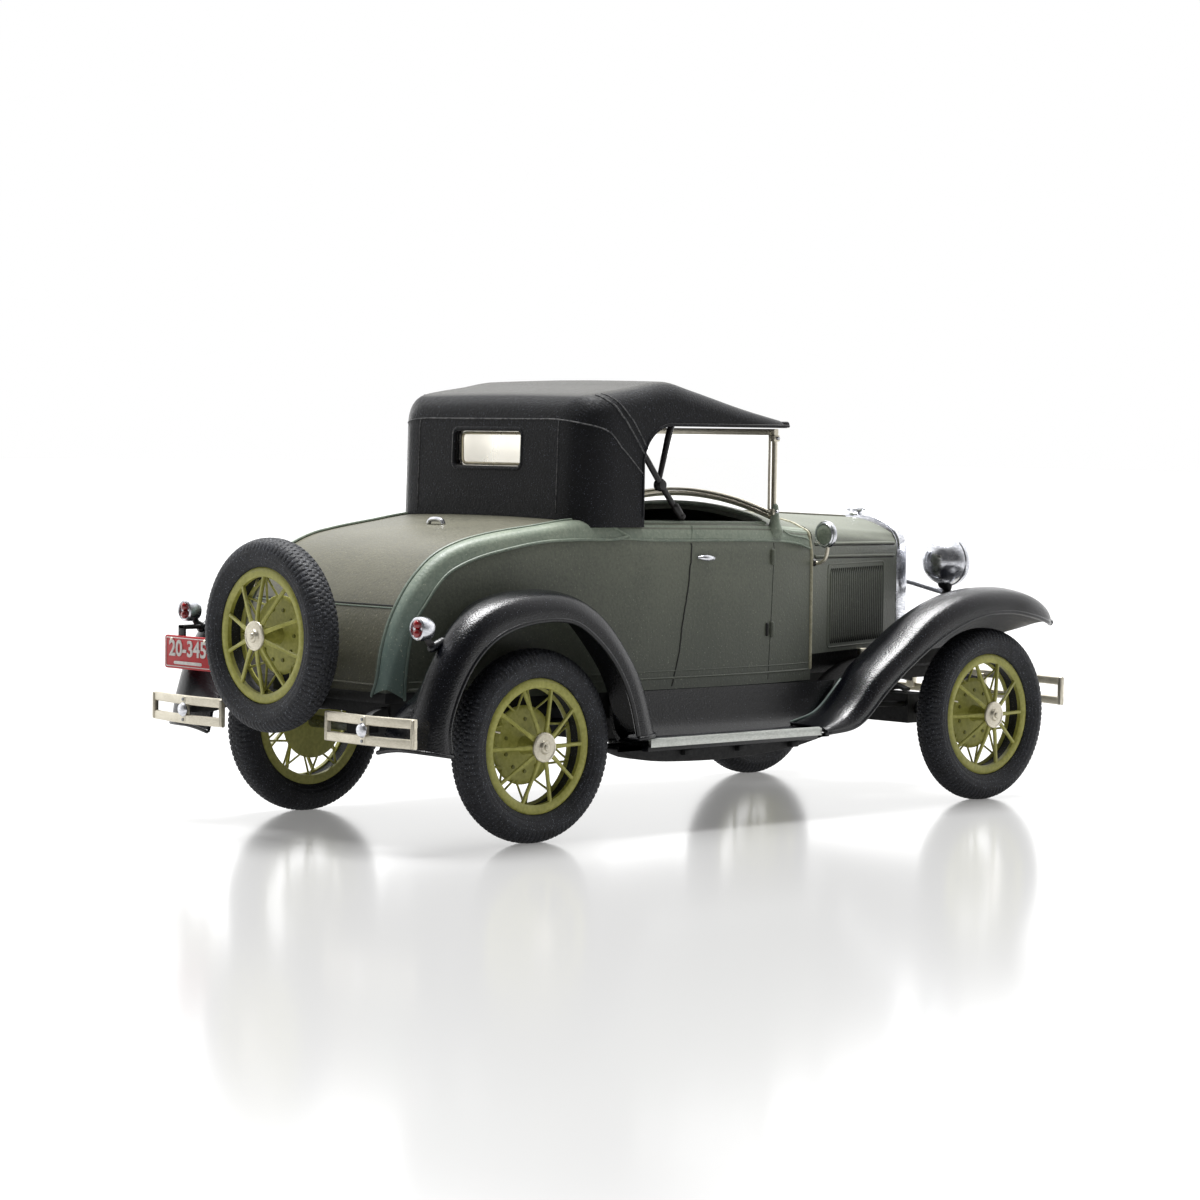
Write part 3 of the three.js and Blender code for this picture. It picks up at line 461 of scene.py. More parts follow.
def painted(name, dark, light, grain=0.28, patch=6.0, rough=(0.4, 0.55), bump=0.03, specks=None, low=None,
            dust_and_sheen=None, **shader):
    """Sprayed paint: patchy shade, fine grain, and, where asked for, specks of another colour.
    specks is (colour, size, share from which it shows), low is (colour, z from, z to), a painted shade that
    darkens the colour towards the bottom, and the last is (colour, z of the normal from, to), a paler colour
    on faces that look up, partly dust and partly a painted sheen of the light from above."""
    n = Nodes(name)
    fine, broad = n.noise(grain, 3.0), n.noise(patch, 2.0)
    shade = n.math("ADD", n.math("MULTIPLY", fine, 0.6), n.math("MULTIPLY", broad, 0.4))
    colour = n.blend(linear(dark), linear(light), n.spread(shade, 0.38, 0.62))
    # Painted shade: the colour darkens towards the bottom.
    if low:
        shade_below, bottom, top = low
        height = n.new("SeparateXYZ")
        n.feed(height.inputs[0], n.place)
        share = n.spread(height.outputs["Z"], bottom * MM, top * MM, 0.25, 1.0)
        colour = n.blend(linear(shade_below), colour, share)
    # A paler colour on faces that look up: partly dust, partly a painted sheen of the light from above.
    if dust_and_sheen:
        pale, tilted, flat = dust_and_sheen
        facing = n.new("SeparateXYZ")
        n.feed(facing.inputs[0], n.new("TexCoord").outputs["Normal"])
        colour = n.blend(colour, linear(pale), n.spread(facing.outputs["Z"], tilted, flat))
    if specks:
        tint, size, threshold = specks
        colour = n.blend(colour, linear(tint), n.spread(n.noise(size, 1.0), threshold, threshold + 0.12))
    n.set(Base_Color=colour, Roughness=n.spread(fine, 0.3, 0.7, *rough))
    n.set(**shader)
    n.bump(fine, bump)
    return n


def metal(name, dark, light, grain=0.5, rough=(0.16, 0.3)):
    """Plated or polished metal, faintly clouded and scuffed."""
    n = Nodes(name)
    scuffs = n.noise(grain, 4.0, stretch=(1, 1, 2.5))
    n.set(Base_Color=n.blend(linear(dark), linear(light), n.spread(scuffs, 0.35, 0.65)))
    n.set(Roughness=n.spread(n.noise(1.2, 3.0), 0.3, 0.7, *rough), Metallic=1.0)
    n.bump(scuffs, 0.01)
    return n


def clear(name, tint, rough, **shader):
    """Clear plastic glazing with faint smears."""
    n = Nodes(name)
    smears = n.noise(2.5, 3.0, stretch=(1, 1, 0.4))
    pale = tuple(min(1.0, 1.04 * c) for c in linear(tint)[:3]) + (1.0,)
    n.set(Base_Color=n.blend(linear(tint), pale, n.spread(smears, 0.35, 0.65)))
    n.set(Roughness=n.spread(smears, 0.4, 0.7, *rough), Transmission_Weight=1.0)
    n.set(**shader)
    return n


# In these paints, low is painted shade: the colour darkens towards the bottom of the car.
painted("body_olive", (92, 97, 84), (110, 114, 99), specks=((126, 129, 114), 0.16, 0.66),
        low=((50, 55, 50), 12, 28))
painted("deck_khaki", (80, 79, 66), (98, 96, 80), specks=((116, 114, 95), 0.16, 0.64),
        low=((48, 50, 45), 12, 25))
# A lighter teal for the mouldings: partly their own paint, partly a painted highlight.
painted("band_teal", (118, 129, 114), (138, 147, 130), grain=0.3, patch=4.0,
        specks=((156, 163, 146), 0.16, 0.66), low=((76, 98, 98), 16, 28))
# Pale beads and edge lines: a painted highlight along raised edges.
painted("bead_pale", (100, 112, 100), (126, 136, 120), grain=0.25, patch=1.5, bump=0.02,
        low=((70, 88, 86), 14, 27))
painted("cream_line", (150, 146, 122), (186, 182, 156), grain=0.3, patch=2.0)
# Dark lines: a wash in the door seams, and painted shadow under beads and beside the louvres.
painted("wash_dark", (20, 21, 20), (36, 37, 34), grain=0.2, patch=1.0, rough=(0.6, 0.8))
# The pale specks on the black fender paint are painted glints of its grain.
painted("fender_satin", (3, 4, 8), (8, 9, 14), grain=0.17, patch=5.0, rough=(0.15, 0.26), bump=0.04,
        specks=((84, 88, 98), 0.1, 0.68), Specular_IOR_Level=0.5)
# On the top, the paler colour on faces that look up is partly dust and partly a painted sheen.
painted("top_grain", (5, 6, 9), (13, 14, 19), grain=0.2, patch=2.5, rough=(0.5, 0.7), bump=0.05,
        specks=((88, 92, 104), 0.1, 0.66), dust_and_sheen=((66, 65, 61), 0.84, 0.99),
        Specular_IOR_Level=0.25, Sheen_Weight=0.4, Sheen_Roughness=0.3)
painted("seam_dust", (50, 51, 54), (104, 104, 104), grain=0.2, patch=0.8, rough=(0.65, 0.85),
        Specular_IOR_Level=0.3)
painted("rubber", (16, 17, 20), (36, 38, 44), grain=0.2, patch=1.2, rough=(0.5, 0.7), bump=0.05,
        specks=((100, 104, 112), 0.12, 0.62), Specular_IOR_Level=0.4)
painted("wheel_green", (152, 151, 68), (178, 176, 94), grain=0.35, patch=2.5, rough=(0.35, 0.5), bump=0.015)
# A darker copy of wheel_green, for the bolt heads in the drum: painted shade.
painted("wheel_shade", (104, 105, 44), (126, 126, 60), grain=0.35, patch=1.5, rough=(0.4, 0.55))
painted("cabin_black", (4, 4, 4), (10, 9, 9), grain=0.3, patch=4.0, rough=(0.6, 0.8), bump=0.04,
        Specular_IOR_Level=0.25)
painted("base_black", (6, 7, 8), (15, 15, 17), grain=0.3, patch=4.0, rough=(0.5, 0.7),
        Specular_IOR_Level=0.35)
painted("iron_brown", (14, 11, 12), (26, 22, 22), grain=0.25, patch=1.5, rough=(0.35, 0.5))
painted("plate_red", (172, 16, 24), (190, 24, 32), grain=0.4, patch=2.0, rough=(0.35, 0.5), bump=0.01)
painted("plate_white", (196, 194, 190), (218, 216, 212), grain=0.3, patch=1.0, bump=0.01)
painted("lens_red", (110, 4, 8), (160, 12, 18), grain=0.3, patch=1.0, rough=(0.08, 0.16), bump=0.01,
        Coat_Weight=1.0, Coat_Roughness=0.05)
metal("chrome", (196, 198, 204), (230, 231, 236))
metal("nickel_warm", (208, 202, 184), (222, 216, 200), grain=0.3, rough=(0.36, 0.48))
metal("strip_bright", (184, 187, 182), (204, 207, 202), grain=0.3, rough=(0.3, 0.42))
metal("steel", (120, 122, 124), (156, 158, 160), rough=(0.25, 0.4))
clear("clear_pane", (255, 255, 254), (0.0, 0.03), IOR=1.05)
clear("cream_pane", (250, 246, 234), (0.25, 0.4), IOR=1.2)
clear("lamp_lens", (236, 240, 240), (0.04, 0.1), IOR=1.45)


# ---------- body forms ----------
body_half = smooth([(-10, 12.7), (-4, 13.7), (3, 14.1), (14, 13.9), (22, 13.4), (30, 12.9),
                    (37, 12.2), (44, 11.4)])
shoulder_z = smooth([(COWL_Y, 27.5), (-6, 27.7), (-2.5, 28.1), (14, 28.4), (21, 28.6), (27, 27.9),
                     (31.5, 27.3), (34.8, 26.6), (37.5, 25.4), (39.8, 23.3), (41.7, 20.4),
                     (42.9, 17), (TAIL_Y, 13.8)])
crown_rise = smooth([(COWL_Y, 1.6), (SCREEN_Y, 2.1), (0, 0.3), (20, 0.3), (TAIL_Y, 0.1)])


def body_side(y):
    """Half of the body's section at y, from the sill up and over to the middle, as (x, z)."""
    half, shoulder, rise = body_half(y), shoulder_z(y), crown_rise(y)
    height = shoulder - SILL_Z
    radius = min(0.8, 0.3 * height)
    lean_from = shoulder - min(2.3, 0.6 * height)
    side = np.c_[np.full(22, half), np.linspace(SILL_Z, lean_from, 22)]
    rounding = arc((half - LEAN - radius, shoulder - radius), radius, 12, 80, 9)
    lean = np.linspace(side[-1], rounding[0], 7)[1:-1]
    ledge_x = half - LEDGE
    x = np.r_[np.linspace(rounding[-1][0], ledge_x, 4)[1:], np.linspace(ledge_x, 0, 22)[1:]]
    rest = np.clip((rounding[-1][0] - x) / 1.5, 0, 1)
    top = shoulder + rise * arch(x / half) - (1 - rest) * (rise * arch(x[0] / half) + 0.01)
    return np.vstack([side, lean, rounding, np.c_[x, top]]), len(side) + len(lean) + len(rounding) + 2


def body_rows():
    """Stations along the body, closer together where the tail falls."""
    tail = np.linspace(COCKPIT[1], TAIL_Y, 400)
    along = np.r_[0, np.cumsum(np.hypot(np.diff(tail), np.diff(shoulder_z(tail))))]
    falling = np.interp(np.linspace(0, along[-1], 90), along, tail)
    return np.r_[np.linspace(COWL_Y, COCKPIT[0], 24), np.linspace(*COCKPIT, 60)[1:], falling[1:]]


def body_net():
    """The body's outer surface as a grid of points, right sill to left sill, and the ledge's column."""
    rows = []
    for y in body_rows():
        half, ledge = body_side(y)
        left = np.array([(x, y, z) for x, z in half])
        rows.append(np.vstack([left * (-1, 1, 1), left[-2::-1]]))
    last = rows[-1].copy()
    last[:, 2] = SILL_Z
    return np.array([*rows, last]), ledge


BODY_NET, LEDGE_COLUMN = body_net()
BODY = Surface(grid(BODY_NET))


# ---------- body shell ----------
INSIDE = (0, 20, 16)  # a point within the body, from which rays reach its outside
BAND_OUTER = [(41.4, 13.0), (41.33, 14.7), (40.95, 17.66), (40.37, 19.79), (39.39, 21.23), (38.06, 22.91),
              (36.67, 24.13), (34.5, 25.1), (31.83, 25.82), (26.78, 26.67), (22.37, 26.9), (17.9, 26.9),
              (16.4, 27.2)]
BAND_INNER = [(-9.7, 43.3, 13.3), (-9.8, 42.3, 14.34), (-9.9, 41.9, 17.05), (-10.0, 41.4, 19.28),
              (-10.1, 40.7, 20.97), (-10.2, 39.8, 22.64), (-10.3, 38.8, 23.87), (-10.4, 37.5, 25.1),
              (-10.7, 35.4, 26.33), (-11.1, 31.1, 27.56), (-11.6, 25.4, 28.25), (-12.0, 22.6, 28.7),
              (-12.7, 20.2, 28.75), (-13.5, 18.2, 28.2), (-13.9, 16.4, 27.2)]
BELT_LINE = [(22.4, 26.9), (17.9, 26.94), (12.5, 26.7), (2.1, 26.6), (-3.6, 26.45), (-7.1, 26.1),
             (-9.0, 25.6)]


def side_paths(rows, lift, count):
    """A line of (y, z) rows laid on the right side of the body."""
    flat = spline(rows, count)
    return BODY.from_inside([(-5, y, z) for y, z in flat], [(-30, y, z) for y, z in flat], lift)


def band_edges(count):
    """The two edges of the band round the tail, on the right side."""
    inner = spline(BAND_INNER, count)
    start = [(-6, min(y - 4, 34), z - 3) for _, y, z in inner]
    return side_paths(BAND_OUTER, 0.0, count), BODY.from_inside(start, inner)


def make_band(body):
    """The raised band round the tail, sunk at its edges, with a bead along each."""
    outer, inner = band_edges(90)
    rows = []
    for a, b in zip(outer, inner):
        centre = (a + b) / 2 + (4.5, -3.0, -3.5)
        rows.append(BODY.from_inside([centre] * 15, [mix(a, b, t) for t in np.linspace(0, 1, 15)], 0.11))
    rows = np.array(rows)
    sunk = rows.copy()
    sunk[:, 0] = mix(rows[:, 0], outer, 2.2)
    sunk[:, -1] = mix(rows[:, -1], inner, 2.2)
    body.both(grid(sunk), "band_teal")
    for edge in (0, -1):
        body.both(tube(rows[:, edge], 0.15, 8), "bead_pale")


def make_belt(body):
    """The zone between the belt line and the cockpit's edge, lighter: partly the moulding's paint, partly a
    painted
    highlight. And the bead along it: a painted highlight, with a painted shadow beneath.
    """
    below = side_paths(BELT_LINE, 0.0, 80)
    rows = []
    for p in below:
        shoulder = shoulder_z(p[1])
        edge = body_half(p[1]) - LEDGE * 0.9
        targets = [(-30, p[1], z) for z in np.linspace(p[2], shoulder - 0.9, 6)]
        targets += [(-edge - 0.9, p[1], shoulder + 0.1), (-edge, p[1], shoulder + 0.35)]
        starts = [(-8, p[1], t[2]) for t in targets[:6]] + [(-edge + 2, p[1], shoulder - 3)] * 2
        rows.append(BODY.from_inside(starts, targets, 0.05))
    rows = np.array(rows)
    rows[:, 0] = mix(rows[:, 0], below, 2.5)
    body.both(grid(rows), "band_teal")
    body.both(tube(below + (0, 0, 0.05), 0.12, 8), "bead_pale")
    body.both(tube(below - (-0.05, 0, 0.16), 0.06, 6), "wash_dark")


def wobbly(path, reach, seed):
    """A hand-drawn line: the path with small sideways steps along the car."""
    steps = np.cumsum(np.random.default_rng(seed).normal(0, reach, len(path)))
    return path + np.outer(steps - np.linspace(steps[0], steps[-1], len(path)), (0, 1, 0))


def make_seams(body):
    """Door seams and hinges, the sill's steps, and the lines across the tail."""
    rear = side_paths([(8.5, 26.4), (9.0, 22), (9.6, 18.5), (10.1, 15.5), (10.8, 13.1)], 0.0, 60)
    body.both(tube(wobbly(rear, 0.02, 3), 0.075, 6), "wash_dark")
    body.both(tube(side_paths([(8.0, 28.0), (8.5, 26.6)], 0.03, 8), 0.05, 6), "bead_pale")
    body.both(tube(side_paths([(-2.9, 26.3), (-2.6, 20), (-2.2, 13.2)], -0.02, 30), 0.05, 6), "wash_dark")
    for z, radius in [(14.5, 0.07), (13.85, 0.12)]:
        body.both(tube(side_paths([(40.8, z), (20, z), (-8.8, z)], 0.0, 60), radius, 6))
    for z, radius, tone in [(21.2, 0.07, "wash_dark"), (21.0, 0.08, "bead_pale"),
                            (14.3, 0.09, "deck_khaki")]:
        across = [(x, 34.0, z) for x in np.linspace(-9.9, 9.9, 40)]
        line = BODY.from_inside(across, np.add(across, (0, 26, 0)))
        body.add(tube(line, radius, 6), tone)
    for z in (25.0, 18.0):
        body.both(tube(side_paths([(-2.6, z + 0.55), (-2.6, z - 0.55)], 0.05, 6), 0.26, 10))
    body.both(tube(side_paths([(-1.9, 18.5), (-1.9, 17.5)], 0.05, 4), 0.16, 8), "wash_dark")


def make_cowl_trim(body):
    """The pale line down the joint with the bonnet, and the one that sweeps to it from the windscreen."""
    line = np.array([(x + 0.05, COWL_Y + 0.12, z) for x, z in body_side(COWL_Y + 0.01)[0][2:]])
    body.add(tube(np.vstack([line, line[-2::-1] * (-1, 1, 1)]), 0.16, 8), "cream_line")
    sweep_rows = [(-3.9, 28.2), (-4.6, 27.6), (-5.6, 27.1), (-7.0, 26.85), (-8.2, 26.7), (-9.1, 26.4)]
    body.both(tube(side_paths(sweep_rows, 0.0, 40), 0.1, 8), "bead_pale")
    foot = spline([(-13.25, SCREEN_Y - 0.1, z) for z in (27.5, 28.2, 28.9, 29.8)], 12)
    taper = np.interp(np.linspace(0, 1, 12), [0, 0.3, 0.6, 1], [0.8, 0.55, 0.4, 0.33])
    body.both(tube(foot, taper, 14), "band_teal")


def make_body():
    body = Piece("body_shell", "body_paint")
    verts, faces = grid(BODY_NET)
    y = BODY_NET[:, 0, 1]
    columns = BODY_NET.shape[1]
    first, last = LEDGE_COLUMN, columns - 2 - LEDGE_COLUMN
    front, rear = np.searchsorted(y, COCKPIT[0] - 0.01), np.searchsorted(y, COCKPIT[1] - 0.01)
    kept = [f for i, f in enumerate(faces)
            if not (front <= i // (columns - 1) < rear and first <= i % (columns - 1) <= last)]
    deck = {tuple(sorted(f)) for f in kept if is_deck(verts[f[0]])}
    shell_verts, shell_faces = thicken((verts, kept), 0.7, INSIDE)
    for tone, on_deck in (("deck_khaki", True), ("body_olive", False)):
        body.add((shell_verts, [f for f in shell_faces if (tuple(sorted(f)) in deck) == on_deck]), tone)
    body.both(tube(BODY_NET[front:rear + 1, first], 0.22, 8), "band_teal")
    for row, radius in ((front, 0.22), (rear, 0.2)):
        body.add(tube(BODY_NET[row, first:last + 2], radius, 8), "band_teal")
    side = [(body_half(y) + 0.07, y) for y in np.linspace(34, TAIL_Y + 0.08, 20)]
    body.add(slab([*side, *[(-x, y) for x, y in side[::-1]]], (12.7, 13.6), "z", 0.03), "base_black")
    for detail in (make_band, make_belt, make_seams, make_cowl_trim):
        detail(body)
    body.make(sharp=40)


def is_deck(p):
    """Whether a point of the body belongs to the khaki deck between the bands."""
    return p[1] > COCKPIT[1] and abs(p[0]) < body_half(p[1]) - 1.6


make_body()


# ---------- bonnet ----------
def forward_of_cowl(y):
    return (COWL_Y - y) / (COWL_Y - BONNET_FRONT_Y)


def bonnet_half(y):
    return mix(12.75, RADIATOR_HALF + 0.1, forward_of_cowl(y))


def bonnet_ring(y):
    """The bonnet's outside at y, from the right lower edge over to the left."""
    half, forward = bonnet_half(y), forward_of_cowl(y)
    shoulder, rise = mix(27.5, 26.4, forward), mix(1.6, 1.9, forward)
    side = [(half, z) for z in np.linspace(BONNET_LOW_Z, shoulder - 0.9, 12)]
    bend = spline([(half, shoulder - 0.9), (half - 0.1, shoulder - 0.45), (half - 0.42, shoulder - 0.05),
                   (half * 0.9, shoulder + rise * arch(0.9)), (half * 0.8, shoulder + rise * arch(0.8))], 14)
    top = [(half * u, shoulder + rise * arch(u)) for u in np.linspace(0.8, 0, 16)]
    left = np.array([(x, y, z) for x, z in [*side, *bend[1:], *top[1:]]])
    return np.vstack([left * (-1, 1, 1), left[-2::-1]])


def make_bonnet():
    bonnet = Piece("bonnet", "body_paint")
    stations = np.linspace(COWL_Y - 0.12, BONNET_FRONT_Y, 30)
    bonnet.add(thicken(grid([bonnet_ring(y) for y in stations]), 0.6, (0, -20, 18)))
    for height in (26.15, 24.9):
        line = [(bonnet_half(y), y, height - 0.018 * (COWL_Y - y)) for y in stations[1:-1]]
        bonnet.both(tube(line, 0.16, 8))
        # A painted shadow under each bead.
        bonnet.both(tube(np.subtract(line, (0, 0, 0.2)), 0.05, 6), "wash_dark")
    top = [(0, y, mix(29.1, 28.3, forward_of_cowl(y))) for y in stations[1:-1]]
    bonnet.add(tube(top, 0.18, 8), "deck_khaki")
    for y in np.linspace(-13.4, -24.6, LOUVRES):
        louvre = [(bonnet_half(y) - 0.04, y, z) for z in (16.3, 16.8, 20.0, 22.9, 23.4)]
        bonnet.both(tube(louvre, [0.1, 0.17, 0.17, 0.17, 0.1], 8))
        # A painted shadow beside each louvre.
        bonnet.both(tube([(bonnet_half(y - 0.2), y - 0.2, z) for z in (16.2, 23.5)], 0.1, 6), "wash_dark")
    outline = rounded((-25.2, -12.8), (15.75, 24.0), 0.4, 4)
    border = [(bonnet_half(y) - 0.06, y, z) for y, z in [*outline, outline[0]]]
    bonnet.both(tube(border, 0.12, 8))
    bonnet.both(block((9.3, 9.8), (-20.85, -19.75), (14.65, 15.35)), "nickel_warm")
    bonnet.make(sharp=50)


make_bonnet()


# ---------- handles ----------
def make_handles():
    handle = Piece("rumble_handle", "warm_nickel")
    bow = [(x, 28.1, z) for x, z in ((-1.05, 28.1), (-0.8, 28.4), (0, 28.5), (0.8, 28.4), (1.05, 28.1))]
    handle.add(tube(spline(bow, 20), 0.22, 10), "chrome")
    handle.make()
    left = Piece("door_handle_left", "warm_nickel")
    path = spline([(14.3, 5.7, 25.0), (14.42, 6.8, 25.05), (14.3, 7.8, 25.1)], 12)
    left.add(tube(path, 0.12 + 0.2 * arch(np.linspace(-1, 1, 12)), 12), "chrome")
    left.add(tube([(13.8, 6.0, 25.0), (14.4, 6.0, 25.0)], 0.22, 10), "chrome")
    left.pair()


make_handles()


# ---------- soft top ----------
top_half = smooth([(-5, 13.7), (14, 13.75), (18.0, 13.78), (19.6, 13.55), (20.6, 13.1),
                   (21.1, 12.6), (TOP_REAR_Y, 12.1)])
roof_z = smooth([(TOP_FRONT_Y, 38), (0.7, 39.2), (7.4, 40.9), (10.7, 41.6), (15, 41), (19, 40.4), (20.6, 40),
                 (TOP_REAR_Y, 39.3)])
TOP_LOW_Z, BACK_SLOPE = 28.0, 0.03


def rake(y, z):
    """How far the back leans towards the tail below the roof."""
    return BACK_SLOPE * (40 - z) * max((y - 14) / (TOP_REAR_Y - 14), 0)


def top_ring(y, inset, low, back=0.0):
    """The top's section at y, drawn in by inset, from the middle of its open underside round the roof."""
    half, roof = top_half(y) - inset, roof_z(y) - inset
    radius = mix(1.0, 2.1, min(max((y - TOP_FRONT_Y) / 16, 0), 1)) - inset / 2
    corner = arc((half - radius, roof - radius), radius, 0, 90, 10)
    side = [(half, low), (half, mix(low, roof - radius, 0.35)), (half, mix(low, roof - radius, 0.7)),
            *corner, (half * 0.6, roof + 0.07), (half * 0.35, roof + 0.12), (half * 0.15, roof + 0.15)]
    other = [(-x, z) for x, z in side[::-1]]
    return [(x, y + back + rake(y, z), z) for x, z in [(0, low), *side, (0, roof + 0.15), *other]]


WINDOW_Y = TOP_REAR_Y + rake(TOP_REAR_Y, 35)


def top_form():
    """The top before it is hollowed. Its rear edge is rounded in steps of (inset, step back)."""
    stations = [*np.linspace(TOP_FRONT_Y, 17, 34), *np.linspace(17.4, TOP_REAR_Y, 14)]
    rings = [top_ring(TOP_FRONT_Y + 0.01, 0.2, TOP_LOW_Z)]
    rings += [top_ring(y, 0, TOP_LOW_Z) for y in stations[1:]]
    rounding = (0.2, 0.12), (0.5, 0.24), (1.0, 0.34), (1.7, 0.41), (2.6, 0.44)
    rings += [top_ring(TOP_REAR_Y, inset, TOP_LOW_Z, back) for inset, back in rounding]
    return lofted(rings)


def make_soft_top():
    form = top_form()
    skin = Surface(form)
    inner = lofted([top_ring(y, TOP_WALL, TOP_LOW_Z - 2)
                    for y in [-6, *np.linspace(0.7, 20, 16), TOP_REAR_Y - TOP_WALL]])
    bend = DOORWAY_REAR_Y - DOORWAY_CORNER, DOORWAY_TOP_Z - DOORWAY_CORNER
    corner = arc(bend, DOORWAY_CORNER, 90, 0, 14)
    doorway = slab([(-8, 20), (-8, DOORWAY_TOP_Z), *corner, (DOORWAY_REAR_Y, 20)], (-20, 20), "x", 0)
    window = slab(rounded((-4.75, 4.75), (33.45, 36.8), 0.5), (18, 23.4), "y", 0)
    rings = []
    for y in np.linspace(10, 26, 40):
        half = body_side(y)[0] + (0, 0.03)
        rings.append([(x, y, z) for x, z in np.vstack([half * (-1, 1), half[-2::-1]])])
    top = Piece("soft_top", "top_black")
    top.add(cut(form, [inner, doorway, window, lofted(rings)]))
    bead = rounded((-4.92, 4.92), (33.25, 37.0), 0.6, 6)
    path = [(x, WINDOW_Y + 0.25 + BACK_SLOPE * (35.2 - z), z) for x, z in closed(bead)]
    top.add(tube(path, 0.26, 10, domed=False))
    for side in (-1, 1):
        seam = [(side * 9.95, 26, z) for z in np.linspace(29.3, 37.9, 20)]
        top.add(tube(skin.from_outside(seam, (0, -1, 0)), 0.06, 8), "seam_dust")
    for rows, radius in [
        ([(0, 26, 37.92), (-5, 26, 37.92), (-9, 25.6, 37.92), (-11.6, 24.4, 37.9), (-13.6, 22.4, 37.6),
          (-16, 19.6, 36.8), (-17, 17.2, 35.2), (-17, 14.6, 32.9)], 0.07),
        ([(-13.6, 19.9, 40.8), (-14.2, 19.1, 40.1), (-15, 18.2, 39.4), (-17, 16.2, 37.0), (-17, 14.3, 34.6)],
         0.09),
        ([(-13.5, 19.0, 40.9), (-14.2, 18.2, 40.3), (-15, 17.4, 39.6), (-17, 15.6, 37.4), (-17, 14.1, 35.3)],
         0.07),
    ]:
        targets = spline(rows, 60)
        starts = [(0.55 * x, min(y, 17.5), min(z, 37.92)) for x, y, z in targets]
        top.both(tube(skin.from_inside(starts, targets), radius, 8), "seam_dust")
    hem = [(-13.72, y, DOORWAY_TOP_Z + 0.18) for y in np.linspace(TOP_FRONT_Y + 0.2, 10.6, 20)]
    hem += [(-13.72, y, z) for y, z in arc(bend, DOORWAY_CORNER + 0.18, 88, 0, 14)]
    hem += [(-13.72, DOORWAY_REAR_Y + 0.18, z) for z in (33, 31, 29)]
    top.both(tube(hem, 0.14, 8))
    front = [(x, TOP_FRONT_Y + 0.05, DOORWAY_TOP_Z + 0.35) for x in np.linspace(-13.3, 13.3, 12)]
    top.add(tube(front, 0.3, 10))
    top.make(sharp=40)


def make_rear_window():
    pane = Piece("rear_window", "clear_glazing")
    y = WINDOW_Y - 0.3
    pane.add(slab(rounded((-4.72, 4.72), (33.48, 36.77), 0.45), (y - 0.08, y + 0.08), "y", 0.03),
             "cream_pane")
    pane.make()
    frame_piece = Piece("rear_window_frame", "warm_nickel", stands_for=())
    ring = rounded((-4.5, 4.5), (33.7, 36.55), 0.5, 6)
    path = [(x, y - 0.2, z) for x, z in closed(ring)]
    frame_piece.add(tube(path, 0.14, 8, domed=False))
    frame_piece.make()


def make_irons():
    left = Piece("top_iron_left", "chassis_black")
    left.add(tube([(12.7, 13.9, 35.2), (12.7, 11.3, 31.9), (12.7, 8.7, 28.9)], 0.3, 10), "iron_brown")
    left.add(tube([(12.5, 9.6, 38.2), (12.5, 10.3, 36.3), (12.5, 11.4, 32.3)], [0.32, 0.32, 0.25], 10),
             "iron_brown")
    pivot = lathe([(0, -0.45), (0.55, -0.45), (0.62, 0), (0.45, 0.3), (0, 0.36)], 16, "x",
                  (12.7, 11.3, 31.9))
    stud = lathe([(0, -0.3), (0.3, -0.3), (0.34, 0.1), (0.2, 0.3), (0, 0.34)], 12, "x", (13.0, 8.8, 28.95))
    for part in (pivot, tube([(12.8, 9.5, 29.85), (12.8, 8.8, 29.0)], 0.42, 10), stud):
        left.add(part, "iron_brown")
    left.pair()


make_soft_top()
make_rear_window()
make_irons()


# ---------- windscreen ----------
def screen_outline(inset):
    half = SCREEN_HALF - inset
    low, high = SCREEN_LOW_Z + inset, 37.3 - inset
    sill = [(half * u, low + 2.2 * arch(u * (half / SCREEN_HALF))) for u in np.linspace(-1, 1, 31)]
    return [*sill, (half, high), (-half, high)]


def make_windscreen():
    screen = Piece("windscreen_frame", "warm_nickel")
    for depth, z0, radius in ((0.0, 0.2, 0.26), (-0.25, 0.62, 0.14), (0.25, 0.62, 0.14)):
        sill = [(SCREEN_HALF * u * 0.985, SCREEN_Y + depth, SCREEN_LOW_Z + z0 + 2.2 * arch(u))
                for u in np.linspace(-1, 1, 41)]
        screen.add(tube(sill, radius, 8))
    rail = rounded((-0.28, 0.28), (-0.3, 0.3), 0.1, 3)
    screen.add(sweep([(x, SCREEN_Y, 37.0) for x in np.linspace(-13.35, 13.35, 9)], rail))
    for side in (-1, 1):
        post = [(side * 13.1, SCREEN_Y - 0.05, z) for z in np.linspace(28.3, 37.2, 6)]
        inner = [(side * 12.72, SCREEN_Y + 0.25, z) for z in np.linspace(29.0, 37.0, 6)]
        screen.add(sweep(post, rounded((-0.22, 0.22), (-0.2, 0.2), 0.07, 3), up=(0, 1, 0)))
        screen.add(tube(inner, 0.13, 8))
        for z in (29.3, 36.4):
            screen.add(block((side * 13.15 - 0.33, side * 13.15 + 0.33), (SCREEN_Y - 0.42, SCREEN_Y + 0.4),
                             (z - 0.3, z + 0.3)))
            screen.add(tube([(side * 13.35, SCREEN_Y, z), (side * 13.6, SCREEN_Y, z)], 0.2, 10), "chrome")
    screen.make()
    glass = Piece("windscreen_glass", "clear_glazing")
    glass.add(slab(screen_outline(0.5), (SCREEN_Y - 0.07, SCREEN_Y + 0.07), "y", 0.02))
    glass.make()


make_windscreen()


